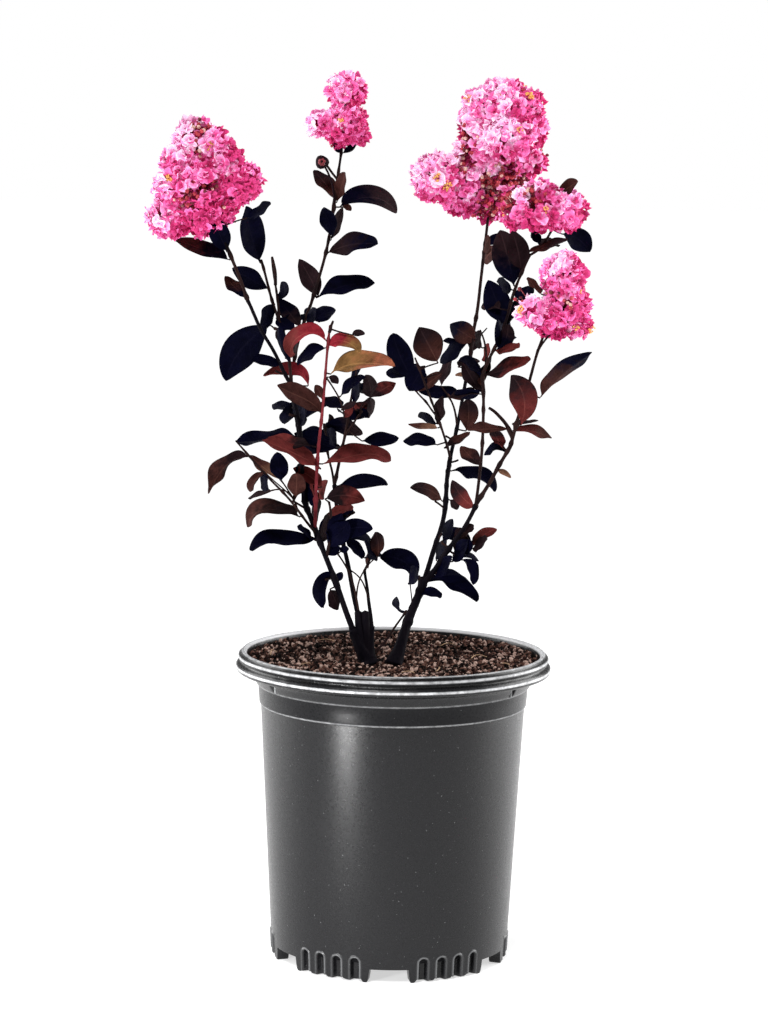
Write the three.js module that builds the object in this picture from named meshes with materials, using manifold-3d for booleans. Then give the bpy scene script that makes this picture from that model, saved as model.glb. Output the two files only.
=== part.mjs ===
// A potted crape myrtle: a ribbed nursery pot filled with bark mix, two woody feet that fork into
// slender boughs, leafy shoots with opposite leaves, and blossom clusters on the tallest shoots.
// Sizes are millimetres, +Z is up, and the origin is the centre of the pot's underside.
// Angles named turn are degrees round +Z from +X; angles named lift are degrees above level.
import * as THREE from 'three';
import { mergeVertices } from 'three/addons/utils/BufferGeometryUtils.js';
import Module from 'manifold-3d';

const wasm = await Module();
wasm.setup();

// ---------------------------------------------------------------- driving dimensions

const potRimRadius = 115;
const potHeight = 225;
const potFootRadius = 86.3;
const potWallSlope = 0.0535;
const potWall = 2;
const potSides = 40;
const collarFoot = 186;
const floorUnder = 10;
const floorTop = 12;
const footRingWidth = 8.5;
const ringTop = 79;
const heelTop = 27;
const footPadRadius = 18;

const gapCount = 6;
const gapWidth = 29;
const gapHeight = 9.5;
const recessAngles = [-13.6, -4.5, 4.5, 13.6];
const recessWidth = 6.9;
const recessHeight = 17.5;
const recessDepth = 4.5;
const slotAngles = [26, 154, 206, 334];
const slotWidth = 3;
const slotHeight = 8;
const slotDepth = 1.2;
const flareFoot = [98.9, 197];
const flareTop = [104.9, 206];

const soilTop = 220;
const soilDish = 2.5;
const clearance = 0.3;

const limbSides = 6;
const limbStep = 24;
const stemSides = 4;
const twigSides = 3;
const leafShare = 0.5;
const leafThickness = 0.9;
const leafFold = 22;
const leafRootDepth = 0.4;
const leafRootHalf = 0.3;
const floretRadius = 14;
const floretDepth = 8;
const floretCorners = 6;
const floretCover = 0.6;
const coreShare = 0.84;
const floretSeat = [0.82, 0.1];
const floretSize = [0.88, 0.24];
const floretCrown = 2.5;
const petalWave = 1.5;
const petalNotch = 0.8;

// ---------------------------------------------------------------- colours and finishes

const finish = (color, roughness) => new THREE.MeshStandardMaterial({ color, roughness, metalness: 0 });

const finishes = {
  pot: finish(0x3c3d3f, 0.42),
  soil: finish(0x3a251c, 0.95),
  bark: finish(0x1f1517, 0.8),
  dark: finish(0x17151f, 0.55),
  brown: finish(0x3d241f, 0.6),
  red: finish(0x6d1f28, 0.55),
  blossom: finish(0xe4459f, 0.7),
};

// ---------------------------------------------------------------- small mathematics

const radians = THREE.MathUtils.degToRad;
const vector = (values) => new THREE.Vector3(...values);

// A direction from its turn round +Z and its lift above level, both in degrees.
function heading(turn, lift) {
  const level = Math.cos(radians(lift));
  return new THREE.Vector3(
    level * Math.cos(radians(turn)),
    level * Math.sin(radians(turn)),
    Math.sin(radians(lift)),
  );
}

// A repeatable stream of numbers from 0 to 1.
function seeded(seed) {
  let state = seed;
  return () => {
    state = (state + 0x6d2b79f5) >>> 0;
    let mix = Math.imul(state ^ (state >>> 15), state | 1) >>> 0;
    mix = (mix ^ ((mix + Math.imul(mix ^ (mix >>> 7), mix | 61)) >>> 0)) >>> 0;
    return ((mix ^ (mix >>> 14)) >>> 0) / 4294967296;
  };
}

// ---------------------------------------------------------------- solids

function toSolid(geometry) {
  const bare = geometry.clone();
  for (const name of Object.keys(bare.attributes)) {
    if (name !== 'position') bare.deleteAttribute(name);
  }
  const merged = mergeVertices(bare, 1e-4);
  return new wasm.Manifold(new wasm.Mesh({
    numProp: 3,
    vertProperties: new Float32Array(merged.attributes.position.array),
    triVerts: new Uint32Array(merged.index.array),
  }));
}

function toGeometry(solid) {
  const mesh = solid.getMesh();
  const geometry = new THREE.BufferGeometry();
  geometry.setAttribute('position', new THREE.BufferAttribute(new Float32Array(mesh.vertProperties), 3));
  geometry.setIndex(new THREE.BufferAttribute(new Uint32Array(mesh.triVerts), 1));
  geometry.computeVertexNormals();
  return geometry;
}

// The largest outer body of a solid: loose scraps are dropped and sealed hollows are filled.
function mainBody(solid) {
  return solid.decompose().reduce((best, body) => (body.volume() > best.volume() ? body : best));
}

const joined = (solids) => solids.reduce((sum, solid) => sum.add(solid));

function closedGeometry(points, faces) {
  const geometry = new THREE.BufferGeometry();
  geometry.setAttribute('position', new THREE.Float32BufferAttribute(points.flatMap((p) => p.toArray()), 3));
  geometry.setIndex(faces.flat());
  return geometry;
}

// ---------------------------------------------------------------- pot

const potOuter = (z) => potFootRadius + potWallSlope * z;

// A turned body about +Z from a list of [radius, height] that starts and ends on the axis.
function turned(profile) {
  const lathe = new THREE.LatheGeometry(profile.map(([r, z]) => new THREE.Vector2(r, z)), potSides);
  return toSolid(lathe.rotateX(Math.PI / 2));
}

// The inner wall from the rim down to the floor's middle, moved inwards by `inset` for what fills it.
function potInside(inset) {
  const wall = potWall + inset;
  return [[104.4 - inset, 213], [101.8 - inset, 205], [flareFoot[0] - wall, flareFoot[1]],
    [potOuter(collarFoot) - wall, collarFoot],
    [potOuter(heelTop) - wall, heelTop], [ringTop - inset, heelTop - 7 + inset],
    [ringTop - inset, floorTop + inset], [0, floorTop + inset]];
}

function potShell() {
  const ringInner = potFootRadius - footRingWidth;
  const base = [[0, 0], [footPadRadius, 0], [footPadRadius, floorUnder], [ringInner, floorUnder],
    [ringInner, 0], [potFootRadius, 0]];
  const collar = [[potOuter(collarFoot), collarFoot], [97.4, 187.2], flareFoot, flareTop];
  const rim = [[106.6, 208.6], [112.6, 210.4], [potRimRadius, 213.6], [112.9, 217.8], [113.2, 221],
    [111, 224.6], [109.2, potHeight], [107, 223.4]];
  return turned([...base, ...collar, ...rim, ...potInside(0)]);
}

// A cutter that stands on local XY, is pushed out along local Z, and is then turned to face outwards.
function outwardCutter(geometry, turn) {
  geometry.rotateX(Math.PI / 2);
  geometry.rotateZ(radians(turn) + Math.PI / 2);
  return toSolid(geometry);
}

function archShape(width, height, foot) {
  const shape = new THREE.Shape();
  shape.moveTo(-width / 2, foot);
  shape.lineTo(width / 2, foot);
  shape.lineTo(width / 2, height - width / 2);
  shape.absarc(0, height - width / 2, width / 2, 0, Math.PI, false);
  shape.closePath();
  return shape;
}

function recessCutter(turn) {
  const reach = 10;
  const arch = archShape(recessWidth, recessHeight, -1);
  const block = new THREE.ExtrudeGeometry(arch, { depth: reach, bevelEnabled: false, curveSegments: 3 });
  block.translate(0, 0, -(potFootRadius - recessDepth) - reach);
  return outwardCutter(block, turn);
}

function gapCutter(turn) {
  const reach = footRingWidth + 6;
  const block = new THREE.BoxGeometry(gapWidth, gapHeight * 2, reach);
  block.translate(0, 0, -potFootRadius + footRingWidth - reach / 2 + 1.5);
  return outwardCutter(block, turn);
}

// A groove in the flare under the rim, tilted with the flare's slope.
function slotCutter(turn) {
  const [footRadius, footHeight] = flareFoot;
  const [topRadius, topHeight] = flareTop;
  const reach = 3;
  const block = new THREE.BoxGeometry(slotWidth, slotHeight, reach);
  block.translate(0, 0, slotDepth - reach / 2);
  block.rotateX(Math.atan2(topRadius - footRadius, topHeight - footHeight) * -1);
  block.translate(0, (footHeight + topHeight) / 2, -(footRadius + topRadius) / 2);
  return outwardCutter(block, turn);
}

function makePot() {
  const cutters = [];
  for (let sector = 0; sector < gapCount; sector += 1) {
    const gapTurn = -90 + (sector * 360) / gapCount;
    cutters.push(gapCutter(gapTurn));
    for (const angle of recessAngles) cutters.push(recessCutter(gapTurn + 180 / gapCount + angle));
  }
  for (const turn of slotAngles) cutters.push(slotCutter(turn));
  return cutters.reduce((pot, cutter) => pot.subtract(cutter), potShell());
}

function makeSoil() {
  const side = potInside(clearance + 0.05).reverse();
  return turned([...side, [104.9, soilTop - soilDish], [84, soilTop], [0, soilTop]]);
}

// ---------------------------------------------------------------- limbs

const soilContact = soilTop + clearance;
const leftFoot = [-18, -31, soilTop];
const rightFoot = [0.4, -30, soilTop];

// Each limb runs from its foot, or from a fraction `at` of the limb that it grows on, to its tip. Bow is
// how far its middle leaves the straight line, and radii are those of its foot and its tip.
const trunkRows = [
  { name: 'prong_left', foot: leftFoot, tip: [-29.5, -30, 245], radii: [5.5, 2.6], flare: 3 },
  { name: 'prong_second', foot: leftFoot, tip: [-24, -25, 249], radii: [5, 2.3], flare: 3 },
  { name: 'prong_third', foot: leftFoot, tip: [-16, -26, 247], radii: [4.5, 1.8], flare: 3 },
  { name: 'trunk_right', foot: rightFoot, tip: [22, -8, 280], radii: [3.6, 2.6], flare: 3.4 },
];

const boughRows = [
  { name: 'bough_left_lower', on: 'prong_left', tip: [-66, -37, 339], radii: [2.5, 2] },
  { name: 'bough_second', on: 'prong_second', tip: [-45, 15, 344], bow: [-2, 0, 0], radii: [2.2, 1.5] },
  { name: 'bough_third', on: 'prong_third', tip: [-22, -2, 284], radii: [1.7, 1.2] },
  { name: 'bough_left_middle', on: 'bough_left_lower', tip: [-76, -42, 421.5], bow: [2.5, 0, 0],
    radii: [1.9, 1.6] },
  { name: 'bough_left_upper', on: 'bough_left_middle', tip: [-107, -43, 481], radii: [1.6, 1.4] },
  { name: 'bough_middle_lower', on: 'bough_left_lower', at: 0.93, tip: [-78, 25, 421.5], bow: [1, -8, 0],
    radii: [1.6, 1.4] },
  { name: 'bough_right_lower', on: 'trunk_right', tip: [38, 30, 355], bow: [3, 0, 0], radii: [2.3, 1.8] },
  { name: 'bough_right_middle', on: 'bough_right_lower', tip: [53.5, 50, 436], radii: [1.7, 1.5] },
  { name: 'bough_right_outer', on: 'trunk_right', at: 0.93, tip: [57, -38, 337.5], bow: [2.5, 0, 0],
    radii: [2.1, 1.7] },
];

// A shoot is a stem with leaf nodes at equal steps from `first` to `last`. Its leaves are pairs, or single
// and on alternate sides where solo is true, and the second of a pair is `pair` times as long. Turn is the
// heading of the first leaf, each node turns on by spin, and lift grows by rise from the first node to the
// last. A shoot may end in blossom lobes, given as [x, y, z, half width, half height] from its tip.
const shootRows = [
  { name: 'foliage_left_inner', on: 'bough_left_middle', at: 0.97, tip: [-100.5, 20, 507],
    bow: [3, 0, 0], radii: [1.3, 1], nodes: 3, first: 0.45, leaf: 36, turn: 180, spin: 20, lift: 25,
    rise: 55, pair: 0.8, tint: 'dark', seed: 226 },
  { name: 'foliage_left_large', on: 'foliage_left_inner', at: 0.44, way: [190, 20], long: 6,
    radii: [1, 0.9], nodes: 1, solo: true, leaf: 58, turn: 188, lift: 4, droop: 85, tint: 'dark',
    seed: 96 },
  { name: 'foliage_left_foot', on: 'bough_left_lower', at: 0.4, way: [215, -5], long: 7,
    radii: [0.9, 0.7], nodes: 1, leaf: 25, turn: 195, lift: -50, droop: 35, tint: 'dark', seed: 68 },
  { name: 'foliage_left_low', on: 'bough_left_lower', at: 0.68, way: [180, 25], long: 9,
    radii: [1, 0.8], nodes: 1, solo: true, leaf: 46, turn: 180, lift: 12, droop: 45, tint: 'dark',
    seed: 2 },
  { name: 'foliage_left_elbow', on: 'bough_left_lower', at: 0.93, way: [185, 30], long: 12,
    radii: [1, 0.8], nodes: 1, solo: true, leaf: 42, turn: 180, lift: 22, droop: 75, tint: 'brown',
    seed: 129 },
  { name: 'foliage_far_left', on: 'bough_left_lower', at: 0.74, tip: [-113, -70, 384], bow: [4, 0, -4],
    radii: [1.1, 0.7], nodes: 3, first: 0.5, last: 0.9, leaf: 34, turn: 185, spin: 14, lift: 12,
    droop: 80, tint: 'brown', seed: 276 },
  { name: 'foliage_left_bend', on: 'bough_left_middle', at: 0.72, way: [190, 20], long: 6,
    radii: [0.9, 0.8], nodes: 1, leaf: 25, turn: 200, lift: 5, tint: 'dark', seed: 36 },
  { name: 'foliage_left_knot', on: 'bough_left_middle', at: 0.14, way: [215, 45], long: 10,
    radii: [0.9, 0.7], nodes: 1, leaf: 24, turn: 170, lift: 20, tint: 'brown', seed: 12 },
  { name: 'foliage_left_wing', on: 'bough_left_upper', at: 0.12, way: [200, 20], long: 8,
    radii: [0.9, 0.7], nodes: 1, leaf: 28, turn: 180, lift: 0, tint: 'dark', seed: 37 },
  { name: 'blossom_left', on: 'bough_left_upper', tip: [-146, -42, 575], bow: [2, 0, -2],
    radii: [1.4, 1], nodes: 2, first: 0.03, last: 0.36, leaf: 36, turn: 180, spin: 8, lift: 25,
    droop: 60, tint: 'dark', seed: 175,
    lobes: [[0, 0, 17, 17, 17], [-5, 0, 0, 19, 17], [27, 0, -13, 21, 18], [-15, 0, -19, 17, 17],
      [-20, 0, -37, 15, 14], [8, 0, -34, 21, 17], [2, 18, -22, 19, 16], [4, -16, -24, 17, 15]] },
  { name: 'foliage_left_cluster', on: 'foliage_left_inner', at: 0.5, tip: [-93, 28, 508],
    radii: [1, 0.8], nodes: 2, first: 0.15, last: 0.5, leaf: 27, turn: 30, lift: 30, tint: 'dark',
    seed: 266 },
  { name: 'foliage_middle_stem', on: 'bough_middle_lower', tip: [-65, 50, 473], bow: [-2, 0, 0],
    radii: [1.4, 1.2], nodes: 2, first: 0.3, last: 0.8, leaf: 36, turn: -5, spin: 20, lift: 25,
    tint: 'dark', seed: 207 },
  { name: 'blossom_middle', on: 'foliage_middle_stem', tip: [-42, 80, 622], bow: [5, 0, 0],
    radii: [1.3, 0.9], nodes: 4, first: 0.07, last: 0.66, leaf: 46, turn: -10, spin: 6, lift: 30,
    droop: 60, pair: 0.6, tint: 'dark', seed: 272,
    bud: { at: 0.62, way: [180, 50], long: 17, radius: 6 },
    lobes: [[0, 0, 9, 15, 13], [-1, 0, -16, 18, 15], [-18, -4, -15, 10, 10], [3, 10, -14, 14, 13]] },
  { name: 'foliage_young', on: 'bough_left_lower', at: 0.78, tip: [-48, -74, 466], bow: [-1, -8, 0],
    radii: [1.4, 0.9], nodes: 5, first: 0.15, last: 0.93, leaf: 42, turn: 0, spin: 5, lift: 14,
    droop: 55, tint: 'red', seed: 299 },
  { name: 'foliage_second_low', on: 'bough_second', at: 0.74, way: [0, 30], long: 13, radii: [1, 0.8],
    nodes: 2, first: 0.5, leaf: 27, turn: -20, spin: 70, lift: 5, tint: 'dark', seed: 7 },
  { name: 'foliage_second_crest', on: 'bough_second', tip: [-32, 42, 416], radii: [1.4, 0.9], nodes: 4,
    first: 0.08, leaf: 28, turn: 0, spin: 70, lift: 25, twigs: 1, tint: 'dark', seed: 100 },
  { name: 'foliage_second_side', on: 'bough_second', at: 0.95, tip: [-54, 48, 386], radii: [1, 0.8],
    nodes: 2, first: 0.6, leaf: 30, turn: -10, spin: 80, lift: 20, tint: 'dark', seed: 147 },
  { name: 'foliage_third', on: 'bough_third', tip: [-12, 14, 302], radii: [1.1, 0.7], nodes: 2,
    first: 0.5, leaf: 22, turn: 0, lift: -25, tint: 'brown', seed: 31 },
  { name: 'foliage_low_centre', on: 'prong_third', at: 0.2, tip: [9, -8, 256], bow: [0, 2, -3],
    radii: [1.1, 0.8], nodes: 1, solo: true, leaf: 13, turn: 180, lift: 60, tint: 'dark', seed: 153 },
  { name: 'foliage_right_foot', on: 'trunk_right', at: 0.5, tip: [18, -3, 281], bow: [1, 0, -2],
    radii: [1.1, 0.8], nodes: 1, solo: true, leaf: 34, turn: 180, lift: 42, droop: 55, tint: 'dark',
    seed: 130 },
  { name: 'foliage_right_spur', on: 'bough_right_lower', at: 0.35, way: [10, 50], long: 6,
    radii: [0.9, 0.7], nodes: 1, solo: true, leaf: 22, turn: 10, lift: 50, droop: 20, tint: 'dark',
    seed: 193 },
  { name: 'foliage_right_wing', on: 'bough_right_lower', at: 0.65, way: [180, 35], long: 8,
    radii: [0.9, 0.7], nodes: 1, solo: true, leaf: 23, turn: 180, lift: 30, tint: 'brown', seed: 209 },
  { name: 'foliage_right_hand', on: 'bough_right_middle', at: 0.06, way: [0, 20], long: 7,
    radii: [0.9, 0.7], nodes: 1, solo: true, leaf: 33, turn: 0, lift: 15, tint: 'dark', seed: 193 },
  { name: 'foliage_right_front', on: 'bough_right_middle', at: 0.1, tip: [12, -12, 440],
    bow: [4, -4, -6], radii: [1.1, 0.7], nodes: 4, first: 0.5, leaf: 32, turn: 150, spin: 60, lift: 40,
    twigs: 1, tint: 'dark', seed: 33 },
  { name: 'foliage_right_small', on: 'bough_right_middle', at: 0.26, way: [180, 30], long: 7,
    radii: [0.9, 0.7], nodes: 1, solo: true, leaf: 28, turn: 180, lift: 12, tint: 'dark', seed: 186 },
  { name: 'foliage_right_upper', on: 'bough_right_middle', tip: [62.3, 58, 515], radii: [1.5, 1.2],
    nodes: 2, first: 0.06, last: 0.36, leaf: 27, turn: 160, spin: 80, lift: 30, tint: 'brown',
    seed: 200 },
  { name: 'blossom_right', on: 'foliage_right_upper', tip: [72, 60, 600], radii: [1.2, 1], nodes: 1,
    first: 0.06, leaf: 20, turn: 20, lift: 40, tint: 'brown', seed: 75,
    lobes: [[-8, 2, 21, 20, 18], [14, -3, 20, 18, 17], [6, -10, -4, 22, 18], [-43, -2, -34, 22, 20],
      [-24, 4, -38, 19, 19], [2, 6, -30, 25, 18], [-3, 0, -50, 10, 13], [4, 18, -12, 20, 18]] },
  { name: 'foliage_outer_foot', on: 'bough_right_outer', at: 0.14, way: [0, 10], long: 8,
    radii: [1, 0.8], nodes: 1, solo: true, leaf: 42, turn: 0, lift: 2, droop: 55, tint: 'dark',
    seed: 278 },
  { name: 'foliage_outer_low', on: 'bough_right_outer', at: 0.55, way: [10, 35], long: 16,
    radii: [1, 0.8], nodes: 2, first: 0.5, leaf: 24, turn: 0, spin: 90, lift: 20, tint: 'brown',
    seed: 244 },
  { name: 'foliage_outer_inner', on: 'bough_right_outer', at: 0.45, way: [150, 30], long: 8,
    radii: [0.9, 0.7], nodes: 1, leaf: 22, turn: 120, lift: 20, tint: 'dark', seed: 146 },
  { name: 'foliage_outer_stem', on: 'bough_right_outer', tip: [80, -50, 381], radii: [1.7, 1.4],
    nodes: 2, first: 0.15, last: 0.7, leaf: 24, turn: 180, spin: 90, lift: 10, tint: 'brown',
    seed: 129 },
  { name: 'foliage_outer_high', on: 'foliage_outer_stem', tip: [98, -55, 450], radii: [1.4, 1.1],
    nodes: 3, first: 0.03, last: 0.42, leaf: 46, turn: 0, spin: -5, lift: 15, rise: 50, droop: 40,
    pair: 0.85, tint: 'brown', seed: 167 },
  { name: 'blossom_outer', on: 'foliage_outer_high', tip: [113, -55, 492], radii: [1.1, 0.9], nodes: 0,
    leaf: 20, turn: 0, lift: 20, tint: 'brown', seed: 33,
    lobes: [[1, 0, 11, 17, 16], [4, 0, -14, 17, 18], [-18, -3, -16, 12, 10], [-3, 4, -25, 16, 9],
      [6, 12, -12, 14, 14]] },
  { name: 'foliage_centre_stem', on: 'bough_right_outer', at: 0.98, tip: [60.5, -14, 428.5],
    bow: [3, 0, 0], radii: [1.3, 1.2], nodes: 3, first: 0.5, last: 0.97, leaf: 31, turn: 180, spin: 100,
    lift: 20, tint: 'brown', seed: 161 },
  { name: 'foliage_centre_high', on: 'foliage_centre_stem', tip: [92, -24, 515], radii: [1.2, 1],
    nodes: 4, first: 0.1, last: 0.85, leaf: 34, turn: 0, spin: 80, lift: 35, rise: 15, tint: 'dark',
    seed: 90 },
  { name: 'blossom_low', on: 'foliage_centre_high', tip: [110, -24, 545], bow: [3, 0, -4],
    radii: [1, 0.9], nodes: 1, first: 0.3, leaf: 23, turn: 0, lift: 5, tint: 'brown', seed: 209,
    lobes: [[-13, 0, 5, 20, 18], [8, 0, 0, 15, 13], [-6, 12, 2, 14, 14]] },
  { name: 'foliage_back_left', on: 'bough_middle_lower', at: 0.5, way: [100, 35], long: 22,
    radii: [1, 0.8], nodes: 2, first: 0.5, leaf: 30, turn: 60, lift: 20, tint: 'dark', seed: 180 },
  { name: 'foliage_back_right', on: 'bough_right_lower', at: 0.85, way: [80, 40], long: 22,
    radii: [1, 0.8], nodes: 2, first: 0.5, leaf: 30, turn: 20, lift: 20, tint: 'dark', seed: 105 },
];

// An axis is a quadratic bow whose middle lies off the straight line by `bow`.
function makeAxis(foot, tip, bow) {
  const middle = foot.clone().add(tip).multiplyScalar(0.5).addScaledVector(bow, 2);
  return new THREE.QuadraticBezierCurve3(foot, middle, tip);
}

function makeLimb(row, limbs) {
  const foot = row.on ? limbs.get(row.on).axis.getPoint(row.at ?? 1) : vector(row.foot);
  const tip = row.tip ? vector(row.tip) : foot.clone().addScaledVector(heading(...row.way), row.long);
  const [footRadius, tipRadius] = row.radii;
  const flare = row.flare ?? 0;
  const radiusAt = (t) => footRadius + (tipRadius - footRadius) * t + flare * Math.exp(-9 * t);
  return { axis: makeAxis(foot, tip, vector(row.bow ?? [0, 0, 0])), radiusAt, flare };
}

// A closed tapering tube of a few sides along a limb's axis. Grow makes it fatter and longer.
function limbSolid(limb, sides, grow = 0) {
  const steps = Math.ceil(limb.axis.getLength() / limbStep) * (limb.flare > 0 ? 2 : 1);
  const frames = limb.axis.computeFrenetFrames(steps, false);
  const points = [];
  for (let step = 0; step <= steps; step += 1) {
    const centre = limb.axis.getPointAt(step / steps);
    if (step === 0) centre.addScaledVector(frames.tangents[0], -grow);
    if (step === steps) centre.addScaledVector(frames.tangents[steps], grow);
    const radius = limb.radiusAt(step / steps) + grow;
    for (let side = 0; side < sides; side += 1) {
      const angle = (side / sides) * 2 * Math.PI;
      points.push(centre.clone()
        .addScaledVector(frames.normals[step], radius * Math.cos(angle))
        .addScaledVector(frames.binormals[step], radius * Math.sin(angle)));
    }
  }
  const faces = [];
  const last = steps * sides;
  for (let side = 0; side < sides; side += 1) {
    const next = (side + 1) % sides;
    for (let ring = 0; ring < last; ring += sides) {
      faces.push([ring + side, ring + next, ring + sides + side]);
      faces.push([ring + next, ring + sides + next, ring + sides + side]);
    }
    if (side > 1) {
      faces.push([0, side, side - 1]);
      faces.push([last, last + side - 1, last + side]);
    }
  }
  return toSolid(closedGeometry(points, faces));
}

// ---------------------------------------------------------------- leaves

// A leaf is an arched blade: its midrib starts at `lift` and bends down by `droop` along its length.
function bladeAt(leaf, share) {
  const turn = radians(leaf.turn);
  const start = radians(leaf.lift);
  const bend = radians(leaf.droop);
  const lift = start - bend * share;
  const run = (leaf.length * (Math.sin(start) - Math.sin(lift))) / bend;
  const rise = (leaf.length * (Math.cos(lift) - Math.cos(start))) / bend;
  const centre = leaf.base.clone().add(new THREE.Vector3(Math.cos(turn) * run, Math.sin(turn) * run, rise));
  const level = new THREE.Vector3(-Math.sin(turn), Math.cos(turn), 0);
  const up = heading(leaf.turn + 180, 90 - (leaf.lift - leaf.droop * share));
  const roll = radians(leaf.roll);
  const across = level.clone().multiplyScalar(Math.cos(roll)).addScaledVector(up, Math.sin(roll));
  const face = up.clone().multiplyScalar(Math.cos(roll)).addScaledVector(level, -Math.sin(roll));
  const outline = share > 0 && share < 1 ? Math.sin(Math.PI * share ** 0.9) ** 0.75 : 0;
  return { centre, across, face, half: (leaf.length * leafShare * outline) / 2 };
}

// Points spread over a blade, which stand for it where clearances are tested.
function leafPoints(leaf) {
  const points = [];
  const rows = Math.ceil(leaf.length / pointStep);
  for (let row = 1; row <= rows; row += 1) {
    const { centre, across, face, half } = bladeAt(leaf, row / rows);
    for (const side of half > 0 ? [-1, -0.5, 0, 0.5, 1] : [0]) {
      points.push(centre.clone().addScaledVector(across, side * half)
        .addScaledVector(face, Math.abs(side) * half * Math.tan(radians(leafFold))));
    }
  }
  return points;
}

// The blade's solid: a sunk root, two folded sections and a point, thickest along the midrib.
function leafSolid(leaf) {
  const points = [];
  for (const share of [0, 0.34, 0.7]) {
    const { centre, across, face, half } = bladeAt(leaf, share);
    if (share === 0) centre.addScaledVector(heading(leaf.turn, leaf.lift), -leafRootDepth);
    const reach = share === 0 ? leafRootHalf : half;
    const fold = share === 0 ? 0 : half * Math.tan(radians(leafFold));
    const edge = centre.clone().addScaledVector(face, fold);
    const thick = share === 0 ? leafRootHalf : leafThickness / 2;
    points.push(edge.clone().addScaledVector(across, reach));
    points.push(centre.clone().addScaledVector(face, thick));
    points.push(edge.clone().addScaledVector(across, -reach));
    points.push(centre.clone().addScaledVector(face, -thick));
  }
  points.push(bladeAt(leaf, 1).centre);
  const tip = points.length - 1;
  const faces = [[0, 3, 1], [1, 3, 2]];
  for (let corner = 0; corner < 4; corner += 1) {
    const next = (corner + 1) % 4;
    for (const ring of [0, 4]) {
      faces.push([ring + corner, ring + next, ring + 4 + corner]);
      faces.push([ring + next, ring + 4 + next, ring + 4 + corner]);
    }
    faces.push([8 + corner, 8 + next, tip]);
  }
  return toSolid(closedGeometry(points, faces));
}

// ---------------------------------------------------------------- blossom

// Florets cover a lobe on an even spiral, and each faces outwards. Those inside another lobe are left out.
function floretSeats(row, tip) {
  const random = seeded(row.seed + 500);
  const centres = row.lobes.map((lobe) => tip.clone().add(vector(lobe.slice(0, 3))));
  const seats = [];
  row.lobes.forEach(([, , , wide, tall], own) => {
    const count = Math.round((floretCover * 4 * wide * (wide + 2 * tall)) / (3 * floretRadius ** 2));
    for (let index = 0; index < count; index += 1) {
      const height = 1 - (2 * index + 1) / count;
      const level = Math.sqrt(1 - height * height);
      const turn = index * 2.4 + own;
      const out = new THREE.Vector3(level * Math.cos(turn), level * Math.sin(turn), height);
      const reach = floretSeat[0] + floretSeat[1] * random();
      const spin = 360 * random();
      const seat = centres[own].clone().add(out.clone().multiply(new THREE.Vector3(wide, wide, tall))
        .multiplyScalar(reach));
      const hidden = row.lobes.some((lobe, other) => (
        other !== own && insideLobe(seat, centres[other], lobe, -lobeOverlap)));
      if (!hidden) {
        out.divide(new THREE.Vector3(wide, wide, tall)).normalize();
        seats.push({ seat, out, spin, size: floretRadius * (floretSize[0] + floretSize[1] * random()) });
      } else random();
    }
  });
  return seats;
}

function insideLobe(point, centre, lobe, grow) {
  const [, , , wide, tall] = lobe;
  const away = point.clone().sub(centre).divide(new THREE.Vector3(wide + grow, wide + grow, tall + grow));
  return away.lengthSq() < 1;
}

// A floret is a shallow star of petals over a short cone that is sunk in its lobe's core.
function floretSolid({ seat, out, spin, size }) {
  const side = new THREE.Vector3(-out.y, out.x, 0.01).normalize();
  const aside = new THREE.Vector3().crossVectors(out, side).normalize();
  const points = [];
  const rim = floretCorners;
  for (let corner = 0; corner < rim; corner += 1) {
    const angle = radians(spin) + (corner / rim) * 2 * Math.PI;
    const reach = corner % 2 ? size * petalNotch : size;
    const rise = corner % 2 ? petalWave : -petalWave;
    points.push(seat.clone().addScaledVector(side, reach * Math.cos(angle))
      .addScaledVector(aside, reach * Math.sin(angle)).addScaledVector(out, rise));
  }
  points.push(seat.clone().addScaledVector(out, floretCrown));
  points.push(seat.clone().addScaledVector(out, -floretDepth));
  const faces = [];
  for (let corner = 0; corner < rim; corner += 1) {
    const next = (corner + 1) % rim;
    faces.push([corner, next, rim], [next, corner, rim + 1]);
  }
  return toSolid(closedGeometry(points, faces));
}

function lobeCore(centre, [, , , wide, tall]) {
  const core = new THREE.IcosahedronGeometry(1, 0);
  core.scale(wide * coreShare, wide * coreShare, tall * coreShare);
  core.translate(centre.x, centre.y, centre.z);
  return toSolid(core);
}

// A round flower bud on a short stalk that leaves its stem.
function budLimb({ at, way, long }, stem) {
  const foot = stem.axis.getPoint(at);
  const axis = makeAxis(foot, foot.clone().addScaledVector(heading(...way), long), new THREE.Vector3());
  return { axis, radiusAt: () => budStalkRadius, flare: 0 };
}

function budSolids(bud, limb) {
  const { x, y, z } = limb.axis.v2;
  const ball = new THREE.IcosahedronGeometry(bud.radius, 0).translate(x, y, z);
  return [limbSolid(limb, twigSides), toSolid(ball)];
}

function clusterSolids(row, tip) {
  const cores = row.lobes.map((lobe) => lobeCore(tip.clone().add(vector(lobe.slice(0, 3))), lobe));
  return [...cores, ...floretSeats(row, tip).map(floretSolid)];
}

// ---------------------------------------------------------------- clearances

const crown = new THREE.Box3(new THREE.Vector3(-188, -112, soilTop + 4), new THREE.Vector3(143, 112, 640));
const rimTop = potHeight + 7;
const rimClear = 98;
const lobeOverlap = 3;
const lobeClear = 4.5;
// Clearances from a shoot's own limbs and leaves, counted only beyond `beyond` of the leaf's base.
const ownClear = { limb: 0.8, leaf: 1.8, limbBeyond: 8, leafBeyond: 9 };
// Clearances from the limbs and leaves of the other nodes.
const otherClear = { limb: 1.3, leaf: 3.2 };
const sphereStep = 4;
const pointStep = 4.5;

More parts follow.
